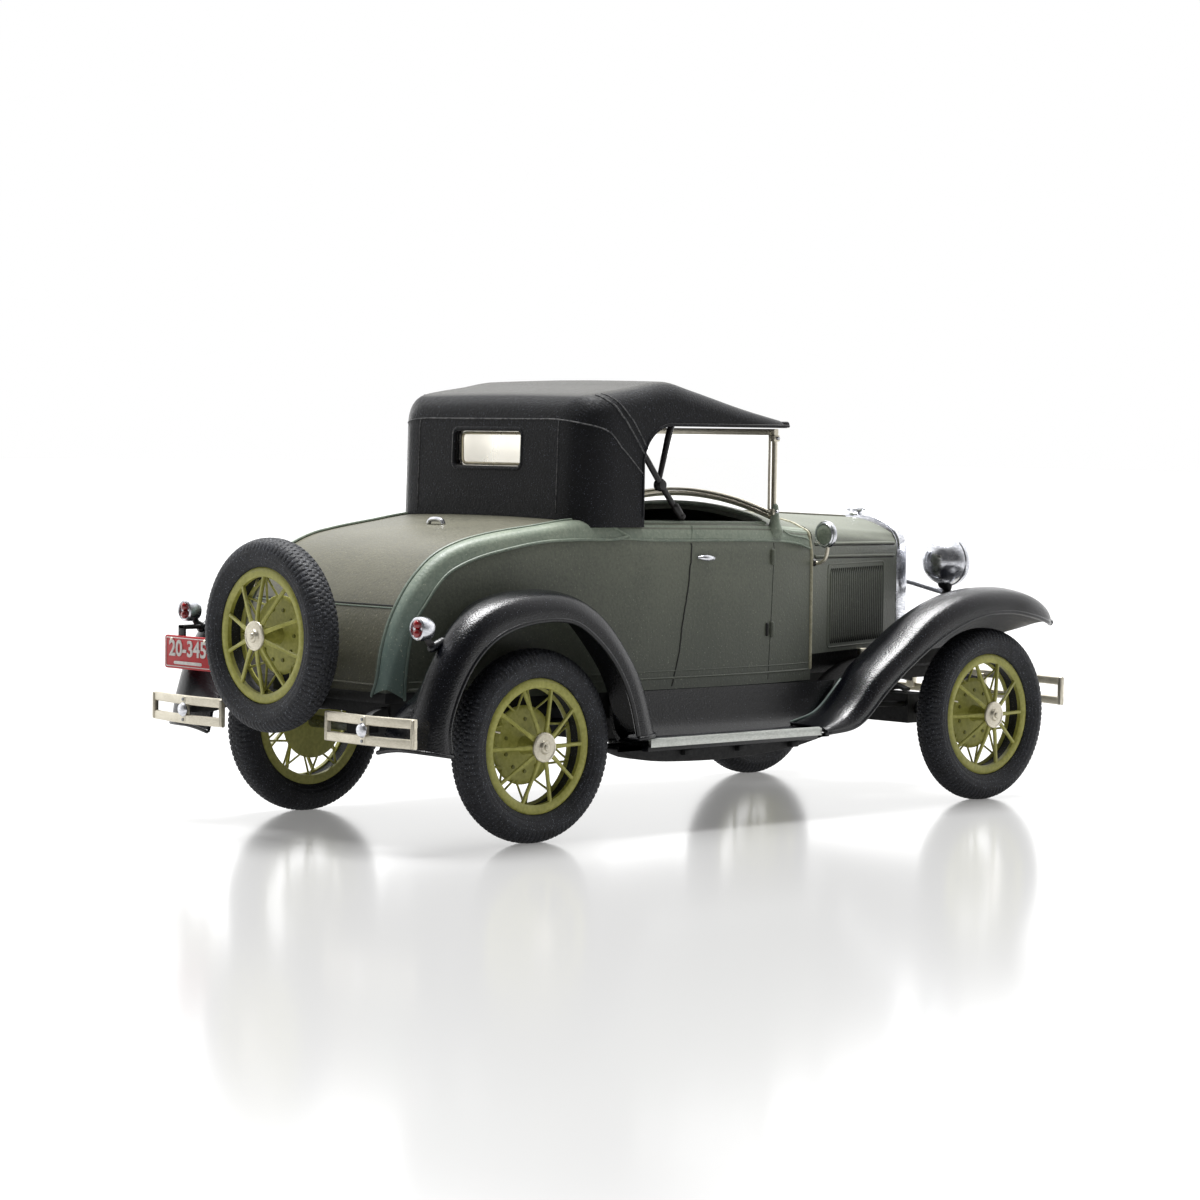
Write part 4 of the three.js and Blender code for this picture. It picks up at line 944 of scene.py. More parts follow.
# ---------- cabin ----------
def make_seat():
    seat = Piece("seat", "cabin_black")
    width = 22.0 / SEAT_ROLLS
    cushion, back = ((6.4, 18.2), (15.4, 16.9), 1.25), ((14.4, 18.2), (17.6, 26.3), 0.95)
    for start, end, thick in (cushion, back):
        start, end = np.array(start), np.array(end)
        for i in range(SEAT_ROLLS):
            x = -11.0 + (i + 0.5) * width
            roll = spline([(x, *start), (x, *mix(start, end, 0.5)), (x, *end)], 9)
            ahead = unit(np.gradient(roll, axis=0))
            above = np.cross((1, 0, 0), ahead)
            turn = np.linspace(0, 2 * math.pi, 14, endpoint=False)
            swell = 0.72 + 0.28 * arch(np.linspace(-1, 1, 9))
            rings = [p + 0.52 * width * np.cos(turn)[:, None] * np.array((1, 0, 0))
                     + thick * s * np.sin(turn)[:, None] * a for p, s, a in zip(roll, swell, above)]
            seat.add(lofted(rings))
    seat.add(block((-11.1, 11.1), (7.0, 16.2), (14.06, 17.2), 0.25))
    seat.add(tube([(x, 17.5, 27.0) for x in np.linspace(-11, 11, 12)], 0.4, 10))
    seat.make()


def make_steering():
    wheel = Piece("steering_wheel", "cabin_black")
    tilt = Matrix.Translation((5.6, 3.2, 23.6)) @ Matrix.Rotation(math.radians(-42), 4, "X")
    circle = [polar(4.2, turn, 0) for turn in np.linspace(0, 2 * math.pi, 61)]
    wheel.add(moved(tube(circle, 0.25, 10, domed=False), tilt))
    for turn in (90, 210, 330):
        x, y, _ = polar(4.1, math.radians(turn), 0)
        wheel.add(moved(tube([(0, 0, 0.1), (x / 2, y / 2, 0.05), (x, y, 0)], [0.28, 0.2, 0.16], 8), tilt))
    wheel.add(moved(lathe([(0, -0.4), (0.6, -0.4), (0.7, 0), (0.5, 0.35), (0, 0.42)], 20), tilt),
              "nickel_warm")
    wheel.add(moved(tube([(0, 0, -12.3), (0, 0, -0.2)], 0.35, 10), tilt))
    wheel.make()
    lever = Piece("gear_lever", "chassis_black")
    lever.add(tube(spline([(0, 3, 14.3), (0, 3.4, 17), (0, 4.6, 20.2)], 10), 0.22, 10), "steel")
    lever.add(lathe([(0, 0), (0.3, 0.05), (0.52, 0.45), (0.4, 0.85), (0, 1)], 16, at=(0, 4.6, 20.1)))
    lever.add(lathe([(0.9, 14.05), (0.8, 14.4), (0.45, 14.8), (0.3, 15.2), (0, 15.2)], 16, at=(0, 3, 0)))
    lever.make()


def make_dashboard():
    dash = Piece("dashboard", "cabin_black")
    top = [(11.4 * u, 26.2 + 2 * arch(u)) for u in np.linspace(1, -1, 25)]
    dash.add(slab([(-11.4, 22.8), (11.4, 22.8), *top], (-2.6, -1.9), "y", 0.12))
    dash.add(slab(rounded((-3, 3), (23.6, 26.8), 0.9, 6), (-1.98, -1.75), "y", 0.06), "nickel_warm")
    for x, z, r in ((0, 26.0, 0.62), (-1.7, 24.6, 0.5), (0, 24.5, 0.5), (1.7, 24.6, 0.5)):
        dash.add(lathe([(0, -1.78), (r, -1.78), (r + 0.08, -1.66), (r - 0.04, -1.6), (r - 0.1, -1.68),
                        (0, -1.68)],
                       20, "y", (x, 0, z)), "steel")
    dash.make()


make_seat()
make_steering()
make_dashboard()


# ---------- radiator and lamps ----------
def radiator_outline(inset):
    half, low, top = RADIATOR_HALF - inset, RADIATOR_LOW_Z + inset, RADIATOR_TOP_Z - inset
    shoulder = spline([(half, top - 3.2), (half - 0.15, top - 2.3), (half - 1.0, top - 1.2),
                       (half - 2.6, top - 0.5), (half * 0.4, top - 0.12), (half * 0.15, top)], 18)
    return [(-half, low), (half, low), *shoulder, *[(-x, z) for x, z in shoulder[::-1]]]


def make_radiator():
    shell = Piece("radiator_shell", "warm_nickel")
    front, rear = RADIATOR_FRONT_Y, BONNET_FRONT_Y
    section = [(0.95, front + 0.5), (0.9, front + 0.1), (0.65, front), (0.25, front + 0.1), (0, front + 0.5),
               (0, rear - 0.2), (0.2, rear - 0.06), (0.95, rear - 0.06), (0.95, front + 0.5)]
    rings = [[(x, y, z) for x, z in radiator_outline(inset)] for inset, y in section]
    shell.add(grid(rings, wrap=True), "chrome")
    shell.add(tube([(x, rear - 0.5, z) for x, z in radiator_outline(-0.04)[2:]], 0.1, 8), "chrome")
    shell.make()
    core = Piece("radiator_grille", "chassis_black")
    core.add(slab(radiator_outline(1.0), (front + 0.75, front + 1.15), "y", 0.05))
    for x in np.linspace(-5.5, 5.5, 39):
        high = RADIATOR_TOP_Z - 1.25 - 2.2 * max(abs(x) - 3.8, 0) / 1.7
        core.add(block((x - 0.07, x + 0.07), (front + 0.55, front + 0.9), (14.4, high), 0.02), "steel")
    core.make()
    cap = Piece("radiator_cap", "warm_nickel")
    y, z = (front + rear) / 2, RADIATOR_TOP_Z
    turned = [(0.75, z + 0.05), (0.78, z + 0.3), (0.6, z + 0.45), (0.5, z + 0.75), (0.3, z + 0.9),
              (0, z + 0.92)]
    cap.add(lathe(turned, 20, at=(0, y, 0)), "chrome")
    wing = [(x, y, z + 0.6 + 0.12 * (abs(x) / 1.2) ** 1.5) for x in np.linspace(-1.2, 1.2, 13)]
    cap.add(tube(wing, 0.16 + 0.1 * arch(np.linspace(-1, 1, 13)), 10), "chrome")
    cap.make()


def make_headlamps():
    x, y, z = LAMP
    left = Piece("headlamp_left", "warm_nickel")
    bowl = [(0, 2.5), (0.45, 2.47), (0.9, 2.38), (1.35, 2.16), (1.75, 1.84), (2.05, 1.42), (2.25, 0.95),
            (2.34, 0.45), (2.36, 0.1), (2.45, 0.0), (2.48, -0.3), (2.4, -0.6), (2.2, -0.62), (2.16, -0.3),
            (2.1, 0.0), (1.7, 0.9), (0.9, 1.5), (0, 1.7)]
    left.add(lathe(1.05 * np.array(bowl), 48, "y", LAMP), "chrome")
    left.add(lathe([(0, 2.4), (0.22, 2.45), (0.2, 2.62), (0, 2.66)], 12, "y", LAMP), "chrome")
    left.add(tube([(x, y + 0.5, z - 2.25), (x, y, z - 2.7)], [0.7, 0.5], 12), "base_black")
    left.pair()
    lens = Piece("headlamp_lens_left", "clear_glazing")
    profile = [(0, -0.9), (0.7, -0.86), (1.3, -0.75), (1.75, -0.58), (2.1, -0.42), (2.1, -0.25), (0, -0.25)]
    verts, faces = lathe(profile, 72, "y", LAMP)
    ripple = 0.05 * np.cos(2 * math.pi * (verts[:, 0] - x) / 0.32)
    verts[:, 1] += np.where(verts[:, 1] < y - 0.3, ripple, 0)
    lens.add((verts, faces), "lamp_lens")
    lens.pair()
    bar = Piece("headlamp_bar", "warm_nickel")
    bow = (-12.2, 19.9), (-10.8, 20.3), (-9, 20.6), (0, 21.9), (9, 20.6), (10.8, 20.3), (12.2, 19.9)
    bar.add(tube(spline([(across, y, height) for across, height in bow], 50), 0.3, 12), "chrome")
    for side in (-1, 1):
        bar.add(lathe([(0.62, 20.5), (0.5, 20.8), (0.36, 21.0), (0.5, 21.3), (0.6, 21.45), (0, 21.45)], 16,
                      at=(side * x, y, 0)), "base_black")
    bar.make()


def make_cowl_lamps():
    left = Piece("cowl_lamp_left", "warm_nickel")
    at = (14.5, -9.25, 27.1)
    left.add(lathe([(0, 0.1), (0, 0.36), (0.5, 0.34), (0.85, 0.26), (1.02, 0.14), (1.0, 0.05)], 28, "y", at),
             "band_teal")
    left.add(lathe([(0.95, 0.06), (1.02, 0.2), (1.12, 0.24), (1.2, 0.1), (1.3, 0.1), (1.34, -0.05),
                    (1.32, -0.3),
                    (1.15, -0.46), (0, -0.48), (0, -0.1), (0.95, 0.06)], 36, "y", at), "chrome")
    arm = spline([(12.9, -9.5, 24.3), (13.4, -9.6, 24.25), (14.1, -9.65, 24.6), (14.4, -9.65, 25.2),
                  (14.5, -9.65, 25.9)], 24)
    left.add(tube(arm, 0.18, 10))
    left.add(lathe([(0, -0.1), (0.4, -0.1), (0.36, 0.12), (0.22, 0.3), (0, 0.32)], 14, "x",
                   (12.85, -9.5, 24.3)),
             "iron_brown")
    left.pair()


def make_tail_lamps():
    left = Piece("tail_lamp_left", "warm_nickel")
    left.add(lathe([(0, 0.38), (0.72, 0.4), (0.78, 0.56), (0.9, 0.6), (1.02, 0.48), (1.06, 0.2),
                    (1.04, -0.4), (0.86, -0.85), (0.5, -1.08), (0, -1.12)], 30, "y", TAIL_LAMP), "chrome")
    left.add(tube(spline([(17.05, 43.3, 18.9), (17.0, 43.0, 18.4), (16.8, 42.2, 18.0)], 10), 0.3, 10),
             "iron_brown")
    left.add(tube([(16.9, 42.6, 17.9), (16.8, 41.3, 18.4)], 0.42, 10), "fender_satin")
    left.pair()
    lens = Piece("tail_lens_left", "red_lens")
    x, y, z = TAIL_LAMP
    for height in (0.38, -0.38):
        dome = [(0, 0.2), (0.4, 0.2), (0.42, 0.5), (0.34, 0.68), (0.18, 0.8), (0, 0.84)]
        lens.add(lathe(dome, 20, "y", (x, y, z + height)))
    lens.pair()


make_radiator()
make_headlamps()
make_cowl_lamps()
make_tail_lamps()


# ---------- number plate ----------
def lettering(text, height, at):
    """Raised characters that read from behind the car."""
    curve = bpy.data.curves.new("characters", "FONT")
    curve.body, curve.size, curve.extrude, curve.offset = text, height, 0.05, 0.045
    curve.align_x, curve.align_y, curve.resolution_u = "CENTER", "CENTER", 3
    obj = linked("characters", curve)
    mesh = bpy.data.meshes.new_from_object(obj.evaluated_get(bpy.context.evaluated_depsgraph_get()))
    verts = np.array([v.co for v in mesh.vertices])
    faces = [list(p.vertices) for p in mesh.polygons]
    bpy.data.objects.remove(obj)
    facing = np.c_[-verts[:, 0], verts[:, 2], verts[:, 1]]
    return facing + np.asarray(at), faces


def make_plate():
    plate = Piece("licence_plate", "plate_red")
    x, y, z = (11.3, 18.7), (45.2, 45.45), (14.2, 17.3)
    plate.add(slab(rounded(x, z, 0.25, 4), y, "y", 0.05))
    edge = rounded((x[0] + 0.22, x[1] - 0.22), (z[0] + 0.22, z[1] - 0.22), 0.15, 3)
    plate.add(tube([(a, y[1], b) for a, b in closed(edge)], 0.045, 6, domed=False), "plate_white")
    middle_x = sum(x) / 2
    plate.add(lettering("20-345", 2.1, (middle_x, y[1] + 0.02, 16.05)), "plate_white")
    bar = rounded((middle_x - 2.2, middle_x + 2.2), (14.62, 14.92), 0.1, 2)
    plate.add(slab(bar, (y[1], y[1] + 0.06), "y", 0.02), "plate_white")
    plate.add(block((15.9, 16.9), (45.0, 45.25), (16.5, 18.3)), "iron_brown")
    plate.add(block((15.9, 16.9), (43.3, 45.25), (17.9, 18.3)), "iron_brown")
    for bolt in (-2.6, 2.6):
        plate.add(lathe([(0, 0), (0.18, 0), (0.14, 0.1), (0, 0.12)], 10, "y",
                        (middle_x + bolt, y[1], 16.95)),
                  "nickel_warm")
    plate.make()


make_plate()


# ---------- fenders ----------
# Each row is one section: (y, z) of the lip, (y, z) of the crown and (x, y, z) of the inner edge.
def beside(y):
    return body_half(min(y, TAIL_Y)) + 0.12


REAR_ROWS = [
    ((42.2, 8.6), (45.2, 9.1), (12.6, 45, 8.6)), ((42.4, 11), (44.5, 11.9), (12.9, 43.8, 11.4)),
    ((41.2, 14.3), (42.9, 16.2), (beside(38.5), 38.5, 15.2)),
    ((39, 17.3), (40.3, 19.8), (beside(36.8), 36.8, 18.6)),
    ((36.3, 19.1), (37.2, 21.7), (beside(35.2), 35.2, 20.9)),
    ((32.2, 20.05), (32.6, 22.6), (beside(31.8), 31.8, 22)),
    ((28, 19.85), (27.8, 22.4), (beside(27.8), 27.8, 21.9)),
    ((25, 18.1), (24.1, 20.7), (beside(24.1), 24.1, 20.2)),
    ((22.5, 15.5), (21.3, 17.9), (beside(21.3), 21.3, 17.4)),
    ((20.9, 12.6), (19, 14.6), (beside(19), 19, 14.1)), ((19.85, 9), (17, 9.3), (beside(17), 17, 8.8)),
]
FRONT_ROWS = [
    ((-4.8, 8.2), (-4.8, 8.75), (14.3, -4.8, 8.85)), ((-9.5, 8.9), (-8.2, 10.3), (14.2, -8.4, 9.8)),
    ((-13.7, 12.2), (-11.8, 13.7), (14, -11.9, 12.5)), ((-18, 15.1), (-15.9, 16.5), (11.9, -15.9, 14)),
    ((-22.4, 17.4), (-20.2, 19.4), (10.3, -20.2, 14.6)), ((-27.2, 18.9), (-25.3, 21.2), (8.9, -25.3, 15)),
    ((-31.6, 19.2), (-31, 21.6), (8.2, -31, 15)), ((-35.3, 18.7), (-35.4, 21), (9.4, -35.4, 15.6)),
    ((-38.4, 18), (-38.6, 19.7), (11.6, -38.6, 16.6)), ((-40.6, 17.6), (-40.9, 18.1), (13.4, -40.7, 17.5)),
]
SECTION = [(0, 0), (0.03, 0.4), (-0.55, 0.82)]  # step in x from the lip, share of the way up to the crown


def fender_net(rows, lip_x, crown_x, flank, along, across):
    """The fender's outer skin, from the lip over the crown to the inner edge."""
    coarse = []
    for lip, crown, inner_edge in rows:
        outer = [(lip_x(lip[0]) + step, *mix(np.array(lip), np.array(crown), up)) for step, up in SECTION]
        inner = [(mix(crown_x, inner_edge[0], t), mix(crown[0], inner_edge[1], t),
                  mix(crown[1], inner_edge[2], t ** flank)) for t in (0, 0.35, 0.7, 1)]
        coarse.append(outer + inner)
    coarse = np.array(coarse)
    ribs = np.stack([spline(coarse[:, c], along) for c in range(coarse.shape[1])], axis=1)
    return np.stack([spline(row, across) for row in ribs])


def make_fender(name, rows, lip_x, crown_x, flank, inside, painted_highlight_until=None):
    """A fender and its mirror image. Its last argument is the y at which a pale line along its inner edge,
    a painted highlight, ends.
    """
    net = fender_net(rows, lip_x, crown_x, flank, 90, 28)
    left = Piece(name + "_left", "fender_black")
    left.add(thicken(grid(net), FENDER_WALL * 0.8, inside))
    left.add(tube(net[1:-1, 0] - (0.12, 0, 0.02), 0.24, 10))
    left.add(tube(net[0, :] - (0, 0, 0.02), 0.2, 10))
    left.add(tube(net[-1, :] - (0, 0, 0.02), 0.2, 10))
    if painted_highlight_until is not None:
        # Painted highlight: a pale bead along the inner edge.
        left.add(tube([p + (0.2, 0, 0.1) for p in net[:, -1] if p[1] > painted_highlight_until], 0.13, 8), "bead_pale")
    left.pair(sharp=50)


front_lip = smooth([(-40.6, 17.1), (-38.4, 18.6), (-35, LIP_X), (-4, LIP_X)])
make_fender("front_fender", FRONT_ROWS, front_lip, 16.5, 1.6, (14.0, -30.0, 8.0), painted_highlight_until=-12.4)
make_fender("rear_fender", REAR_ROWS, lambda y: LIP_X, 17.0, 2.0, (15.5, 31.0, 8.0))


# ---------- running boards ----------
def make_boards():
    left = Piece("running_board_left", "fender_black")
    x_at = smooth([(8.6, 14.9), (9.3, 14.25), (10.6, 13.9), (12.0, 13.75), (12.72, 13.72)])
    foot_z = smooth([(-11.7, 12.5), (-10.2, 10.8), (-7.4, 9.3), (-4.2, 8.6), (18.2, 8.6)])
    rows = [[(x_at(z), y, z) for z in np.linspace(12.72, foot_z(y), 16)]
            for y in np.linspace(-11.7, 18.2, 60)]
    left.add(thicken(grid(rows), 0.45, (12.0, 6.0, 9.0)))
    keel = spline([(21.2, 7.9), (18, 6.8), (12, 6.35), (5, 6.35), (-2, 6.9), (-6.8, 7.8)], 30)
    left.add(slab([*keel, (-6.8, 8.0), (21.2, 8.0)], (14.6, 17.8), "x", 0.3), "base_black")
    left.add(block((13.2, BOARD_OUT), (BOARD_FRONT, BOARD_REAR), (BOARD_UNDER, BOARD_TOP - 0.1), 0.12))
    ends = BOARD_FRONT + 0.4, BOARD_REAR - 0.5
    for x in np.arange(15.2, 18.5, 0.4):
        left.add(tube([(x, y, BOARD_TOP - 0.1) for y in ends], 0.13, 6), "rubber")
    for y in ends:
        left.add(tube([(15.0, y, BOARD_TOP - 0.08), (18.5, y, BOARD_TOP - 0.08)], 0.15, 6), "rubber")
    for y in (-1.5, 5.6, 12.7):
        left.add(block((8.0, 18.4), (y - 0.5, y + 0.5), (7.0, 7.6), 0.1), "base_black")
    left.pair()
    trim = Piece("board_trim_left", "bright_plate")
    section = rounded((-0.15, 0.15), (-0.36, 0.36), 0.1, 3)
    trim.add(sweep([(18.92, y, BOARD_TOP - 0.17) for y in np.linspace(BOARD_FRONT - 0.1, BOARD_REAR, 12)],
                   section))
    lip = [(18.75, y, BOARD_TOP + 0.16) for y in np.linspace(BOARD_FRONT, BOARD_REAR - 0.1, 12)]
    trim.add(tube(lip, 0.14, 8))
    trim.pair()


make_boards()


# ---------- bumpers ----------
def bumper_strips(piece, plan, middle_z, height, gap):
    """A bumper's two blades, gap apart."""
    section = rounded((-0.2, 0.2), (-height / 2, height / 2), 0.13, 4)
    for way in (-1, 1):
        z = middle_z + way * (gap + height) / 2
        piece.add(sweep([(x, y + 0.2, z) for x, y in plan], section))


def make_bumpers():
    front = Piece("front_bumper", "warm_nickel")
    u = np.linspace(-1, 1, 41)
    bumper_strips(front, np.c_[17.5 * u, -42.4 - 2.1 * arch(u)], 10.55, 0.85, 1.2)
    for x, y, width in ((-17.3, -42.4, 0.45), (0, -44.5, 1.0), (17.3, -42.4, 0.45)):
        front.add(block((x - width / 2, x + width / 2), (y - 0.1, y + 0.5), (9.1, 12.0), 0.1))
    front.add(lathe([(0, -44.72), (0.3, -44.7), (0.34, -44.6), (0.34, -44.5), (0, -44.5)], 14, "y",
                    (0, 0, 10.55)),
              "chrome")
    for side in (-5, 5):
        iron = spline([(side, -44.05, 10.6), (side, -42.6, 10.9), (side, -41.2, 11.2), (side, -39.6, 11.4)],
                      16)
        front.add(sweep(iron, rounded((-0.4, 0.4), (-0.5, 0.5), 0.15, 3)), "base_black")
        front.add(block((side - 0.5, side + 0.5), (-44.3, -43.6), (9.5, 11.6), 0.1))
    front.make()
    left = Piece("rear_bumper_left", "warm_nickel")
    plan = spline([(7.6, 46.6), (9.5, 46.72), (13, 46.85), (16.4, 46.5), (19.2, 46.0)], 30)
    bumper_strips(left, plan, 10.7, 0.86, 0.9)
    for x, y, width in ((7.8, 46.62, 0.38), (13.2, 46.82, 0.8), (19.0, 46.08, 0.38)):
        left.add(block((x - width / 2, x + width / 2), (y - 0.1, y + 0.48), (9.42, 11.98), 0.14))
    left.add(lathe([(0, 47.2), (0.62, 47.22), (0.66, 47.34), (0.52, 47.52), (0.24, 47.6), (0, 47.62)], 20,
                   "y", (13.2, 0, 10.7)), "chrome")
    hanger = spline([(13.2, 46.6, 10.9), (13.0, 45.7, 10.9), (11.6, 45.3, 11.0), (10.8, 44.4, 11.4),
                     (10.8, 42.7, 11.9)], 24)
    left.add(sweep(hanger, rounded((-0.35, 0.35), (-0.5, 0.5), 0.12, 3)), "base_black")
    for z in (9.75, 11.65):
        left.add(lathe([(0, 47.24), (0.17, 47.24), (0.15, 47.36), (0, 47.38)], 10, "y", (13.2, 0, z)),
                 "steel")
    left.pair()


make_bumpers()


# ---------- wheels and tyres ----------
# Each is laid out in its own plane, with its outer face towards +z, and turned on to the car by onto().
def onto(part, kind, y=0.0):
    """A wheel's part on the left end of an axle, or on the spare's carrier."""
    verts, faces = part
    verts = np.asarray(verts, float)
    if kind == "spare":
        return np.c_[verts[:, 1], verts[:, 2], verts[:, 0]] + SPARE, faces
    return np.c_[verts[:, 2] + HALF_TRACK, verts[:, 0], verts[:, 1]] + (0, y, AXLE_Z), faces


def wheel_parts():
    """(part, material) pairs of one painted wheel."""
    rim = [(5.26, 0.5), (5.24, 0.92), (5.4, 1.04), (5.75, 1.06), (6.0, 1.0), (6.16, 0.8), (6.12, 0.5),
           (5.26, 0.5)]
    well = [(5.4, 0.52), (6.12, 0.5), (6.1, 0.0), (6.1, -0.75), (5.5, -0.75), (5.45, 0.0), (5.4, 0.52)]
    back = [(5.5, -0.72), (6.1, -0.72), (6.14, -1.05), (5.9, -1.12), (5.3, -1.1), (5.22, -0.9), (5.5, -0.72)]
    parts = [(lathe(rim, 96), "wheel_green"), (lathe(well, 96), "rubber"), (lathe(back, 96), "wheel_green")]
    outline = (-1, 0.3), (-0.6, 1), (0.6, 1), (1, 0.3), (0.6, -1), (-0.6, -1)
    for k in range(SPOKES):
        turn = k * 2 * math.pi / SPOKES
        side = np.array((-math.sin(turn), math.cos(turn), 0))
        rings = [[np.array(polar(radius, turn, z)) + side * width * a + (0, 0, 0.16 * b) for a, b in outline]
                 for radius, z, width in ((0.85, 1.6, 0.26), (2.2, 1.45, 0.2), (3.8, 1.12, 0.17),
                                          (5.45, 0.78, 0.2))]
        parts.append((lofted(rings), "wheel_green"))
    for k in range(2 * SPOKES):
        turn = (k // 2) * math.pi / 5
        slant = 0.3 if k % 2 else -0.3
        lace = [polar(3.3, turn + 0.15 * slant, -0.95), polar(4.6, turn + 0.8 * slant, -0.8),
                polar(5.35, turn + slant, -0.7)]
        parts.append((tube(lace, 0.11, 6, domed=False), "wheel_green"))
    drum = [(0, -0.78), (1.3, -0.8), (2.4, -0.82), (3.1, -0.86), (3.45, -0.95), (3.58, -1.1), (3.55, -1.25),
            (0, -1.25)]
    parts.append((lathe(drum, 64), "wheel_green"))
    for k in range(SPOKES):
        at = polar(2.35, (k + 0.5) * math.pi / 5, 0)
        parts.append((lathe([(0, -0.84), (0.19, -0.84), (0.17, -0.7), (0, -0.69)], 8, at=at), "wheel_shade"))
    hub = [(0, -1.2), (1.1, -1.2), (0.75, -0.6), (0.7, 0.6), (0.95, 1.35), (1.2, 1.55), (1.26, 1.66),
           (1.18, 1.76), (0.9, 1.8), (0, 1.8)]
    parts.append((lathe(hub, 40), "wheel_green"))
    parts.append((tube([polar(5.2, 0.32, 0.3), polar(4.6, 0.32, 0.75)], 0.09, 8), "nickel_warm"))
    return parts


CAP = [(1.3, 1.68), (1.36, 1.8), (1.32, 1.92), (1.18, 1.96), (1.12, 1.92), (0.66, 1.94), (0.6, 2.0),
       (0.56, 2.14), (0.48, 2.2), (0.32, 2.2), (0.28, 2.32), (0.18, 2.36), (0, 2.36)]


def tyre_part():
    """A tyre with blocks staggered across its round tread, serrated shoulders and ridged side walls."""
    blocks, steps = 96, 6  # blocks round the tread, and rings to each
    wall = [(6.12, 0.95), (6.3, 1.18), (6.5, 1.22), (6.6, 1.34), (6.75, 1.34), (6.85, 1.42), (7.1, 1.52),
            (7.22, 1.49),
            (7.35, 1.55), (7.55, 1.55), (7.65, 1.51), (7.8, 1.5), (7.95, 1.44), (8.1, 1.36), (8.24, 1.27)]
    tread = [(8.36, 1.17), (8.46, 1.06), (8.54, 0.94), (8.6, 0.82), (8.64, 0.74), (8.68, 0.6), (8.71, 0.44),
             (8.73, 0.3), (8.74, 0.22), (8.745, 0.08)]
    half = np.array(wall + tread)
    profile = np.vstack([half, half[::-1] * (1, -1)])
    count = len(profile)
    turn = np.linspace(0, 2 * math.pi, blocks * steps, endpoint=False)
    radius = np.repeat(profile[None, :, 0], len(turn), 0)
    width = np.repeat(profile[None, :, 1], len(turn), 0)
    phase = np.arange(len(turn)) % steps
    column = np.arange(count)
    near = np.minimum(column, count - 1 - column) - len(wall)  # steps in from the shoulder
    for gaps, first, last, depth in (((0, 1), 0, 3, 0.1), ((3, 4), 5, 7, 0.09), ((0, 1), 9, 9, 0.08)):
        radius[np.ix_(np.isin(phase, gaps), (near >= first) & (near <= last))] -= depth
    radius[:, (near == 4) | (near == 8)] -= 0.08
    serration = (near >= -4) & (near <= -1)
    width[np.ix_(np.isin(phase, (0, 1)), serration)] *= 0.955
    rings = np.stack([radius * np.cos(turn)[:, None], radius * np.sin(turn)[:, None], width], axis=2)
    lining = np.repeat([[(6.12, -0.95), (6.08, 0.0), (6.12, 0.95)]], len(turn), 0)
    bead = np.stack([lining[..., 0] * np.cos(turn)[:, None], lining[..., 0] * np.sin(turn)[:, None],
                     lining[..., 1]], axis=2)
    net = np.concatenate([rings, bead], axis=1)
    return grid(np.concatenate([net, net[:1]]), wrap=True)


TYRE = tyre_part()
WHEEL = wheel_parts()


def make_wheel(end, y):
    body = f"{end}_wheelset"
    wheel = Piece(f"{end}_wheel_left", "wheel_yellow_green", body)
    for part, material in WHEEL:
        wheel.add(onto(part, "road", y), material)
    cap = Piece(f"{end}_hub_cap_left", "warm_nickel", body, ())
    cap.add(onto(lathe(CAP, 32), "road", y))
    tyre = Piece(f"{end}_tyre_left", "tyre_rubber", body)
    tyre.add(onto(TYRE, "road", y))
    wheel.pair(sharp=42)
    tyre.pair(sharp=42)
    cap.pair()


def make_spare():
    wheel = Piece("spare_wheel", "wheel_yellow_green")
    for part, material in WHEEL:
        wheel.add(onto(part, "spare"), material)
    wheel.make(sharp=42)
    cap = Piece("spare_hub_cap", "warm_nickel", stands_for=())
    cap.add(onto(lathe(CAP, 32), "spare"))
    cap.make()
    tyre = Piece("spare_tyre", "tyre_rubber")
    tyre.add(onto(TYRE, "spare"))
    tyre.make(sharp=42)
    carrier = Piece("spare_carrier", "chassis_black")
    y, z = SPARE[1], SPARE[2]
    plate = [(0, y - 1.66), (2.5, y - 1.66), (2.62, y - 1.5), (2.5, y - 1.28), (0, y - 1.28)]
    carrier.add(lathe(plate, 32, "y", (0, 0, z)))
    carrier.add(block((-1.6, 1.6), (43.4, y - 1.4), (13.2, 14.4), 0.15))
    carrier.add(block((-1.6, 1.6), (y - 2.2, y - 1.5), (13.2, z), 0.15))
    carrier.add(block((-1.6, 1.6), (42.6, 43.9), (11.7, 12.7), 0.15))
    carrier.add(block((-1.6, 1.6), (43.36, 44.4), (11.7, 14.4), 0.15))
    carrier.make()


make_wheel("front", FRONT_AXLE_Y)
make_wheel("rear", REAR_AXLE_Y)
make_spare()


# ---------- chassis ----------
def make_splash_pans():
    """Pans that close the gap between the bonnet, the front fenders and the frame."""
    pans = Piece("engine_splash_pans", "chassis_black", stands_for=())
    rows = []
    for y in np.linspace(COWL_Y - 0.3, -35.5, 22):
        half = max(bonnet_half(y), 7.5)
        rows.append(spline([(half - 0.5, y, min(16.2, 15.2 + max(y - BONNET_FRONT_Y, 0))),
                            (half - 0.55, y, 14.6), (mix(half, 5.3, 0.3), y, 13.2), (5.3, y, 12.75)], 10))
    pans.both(thicken(grid(rows), 0.4, (0, -18, 20)), "cabin_black")
    edge = smooth([(row[2][1], row[2][0]) for row in FRONT_ROWS[:6]][::-1])
    level = smooth([(row[2][1], row[2][2]) for row in FRONT_ROWS[:6]][::-1])
    shelf = [[(x, y, level(y) - 0.2) for x in np.linspace(bonnet_half(y) - 0.9, edge(y) + 0.2, 4)]
             for y in np.linspace(-24, -9.2, 24)]
    pans.both(thicken(grid(shelf), 0.3, (10, -16, 0)), "cabin_black")
    pans.make()


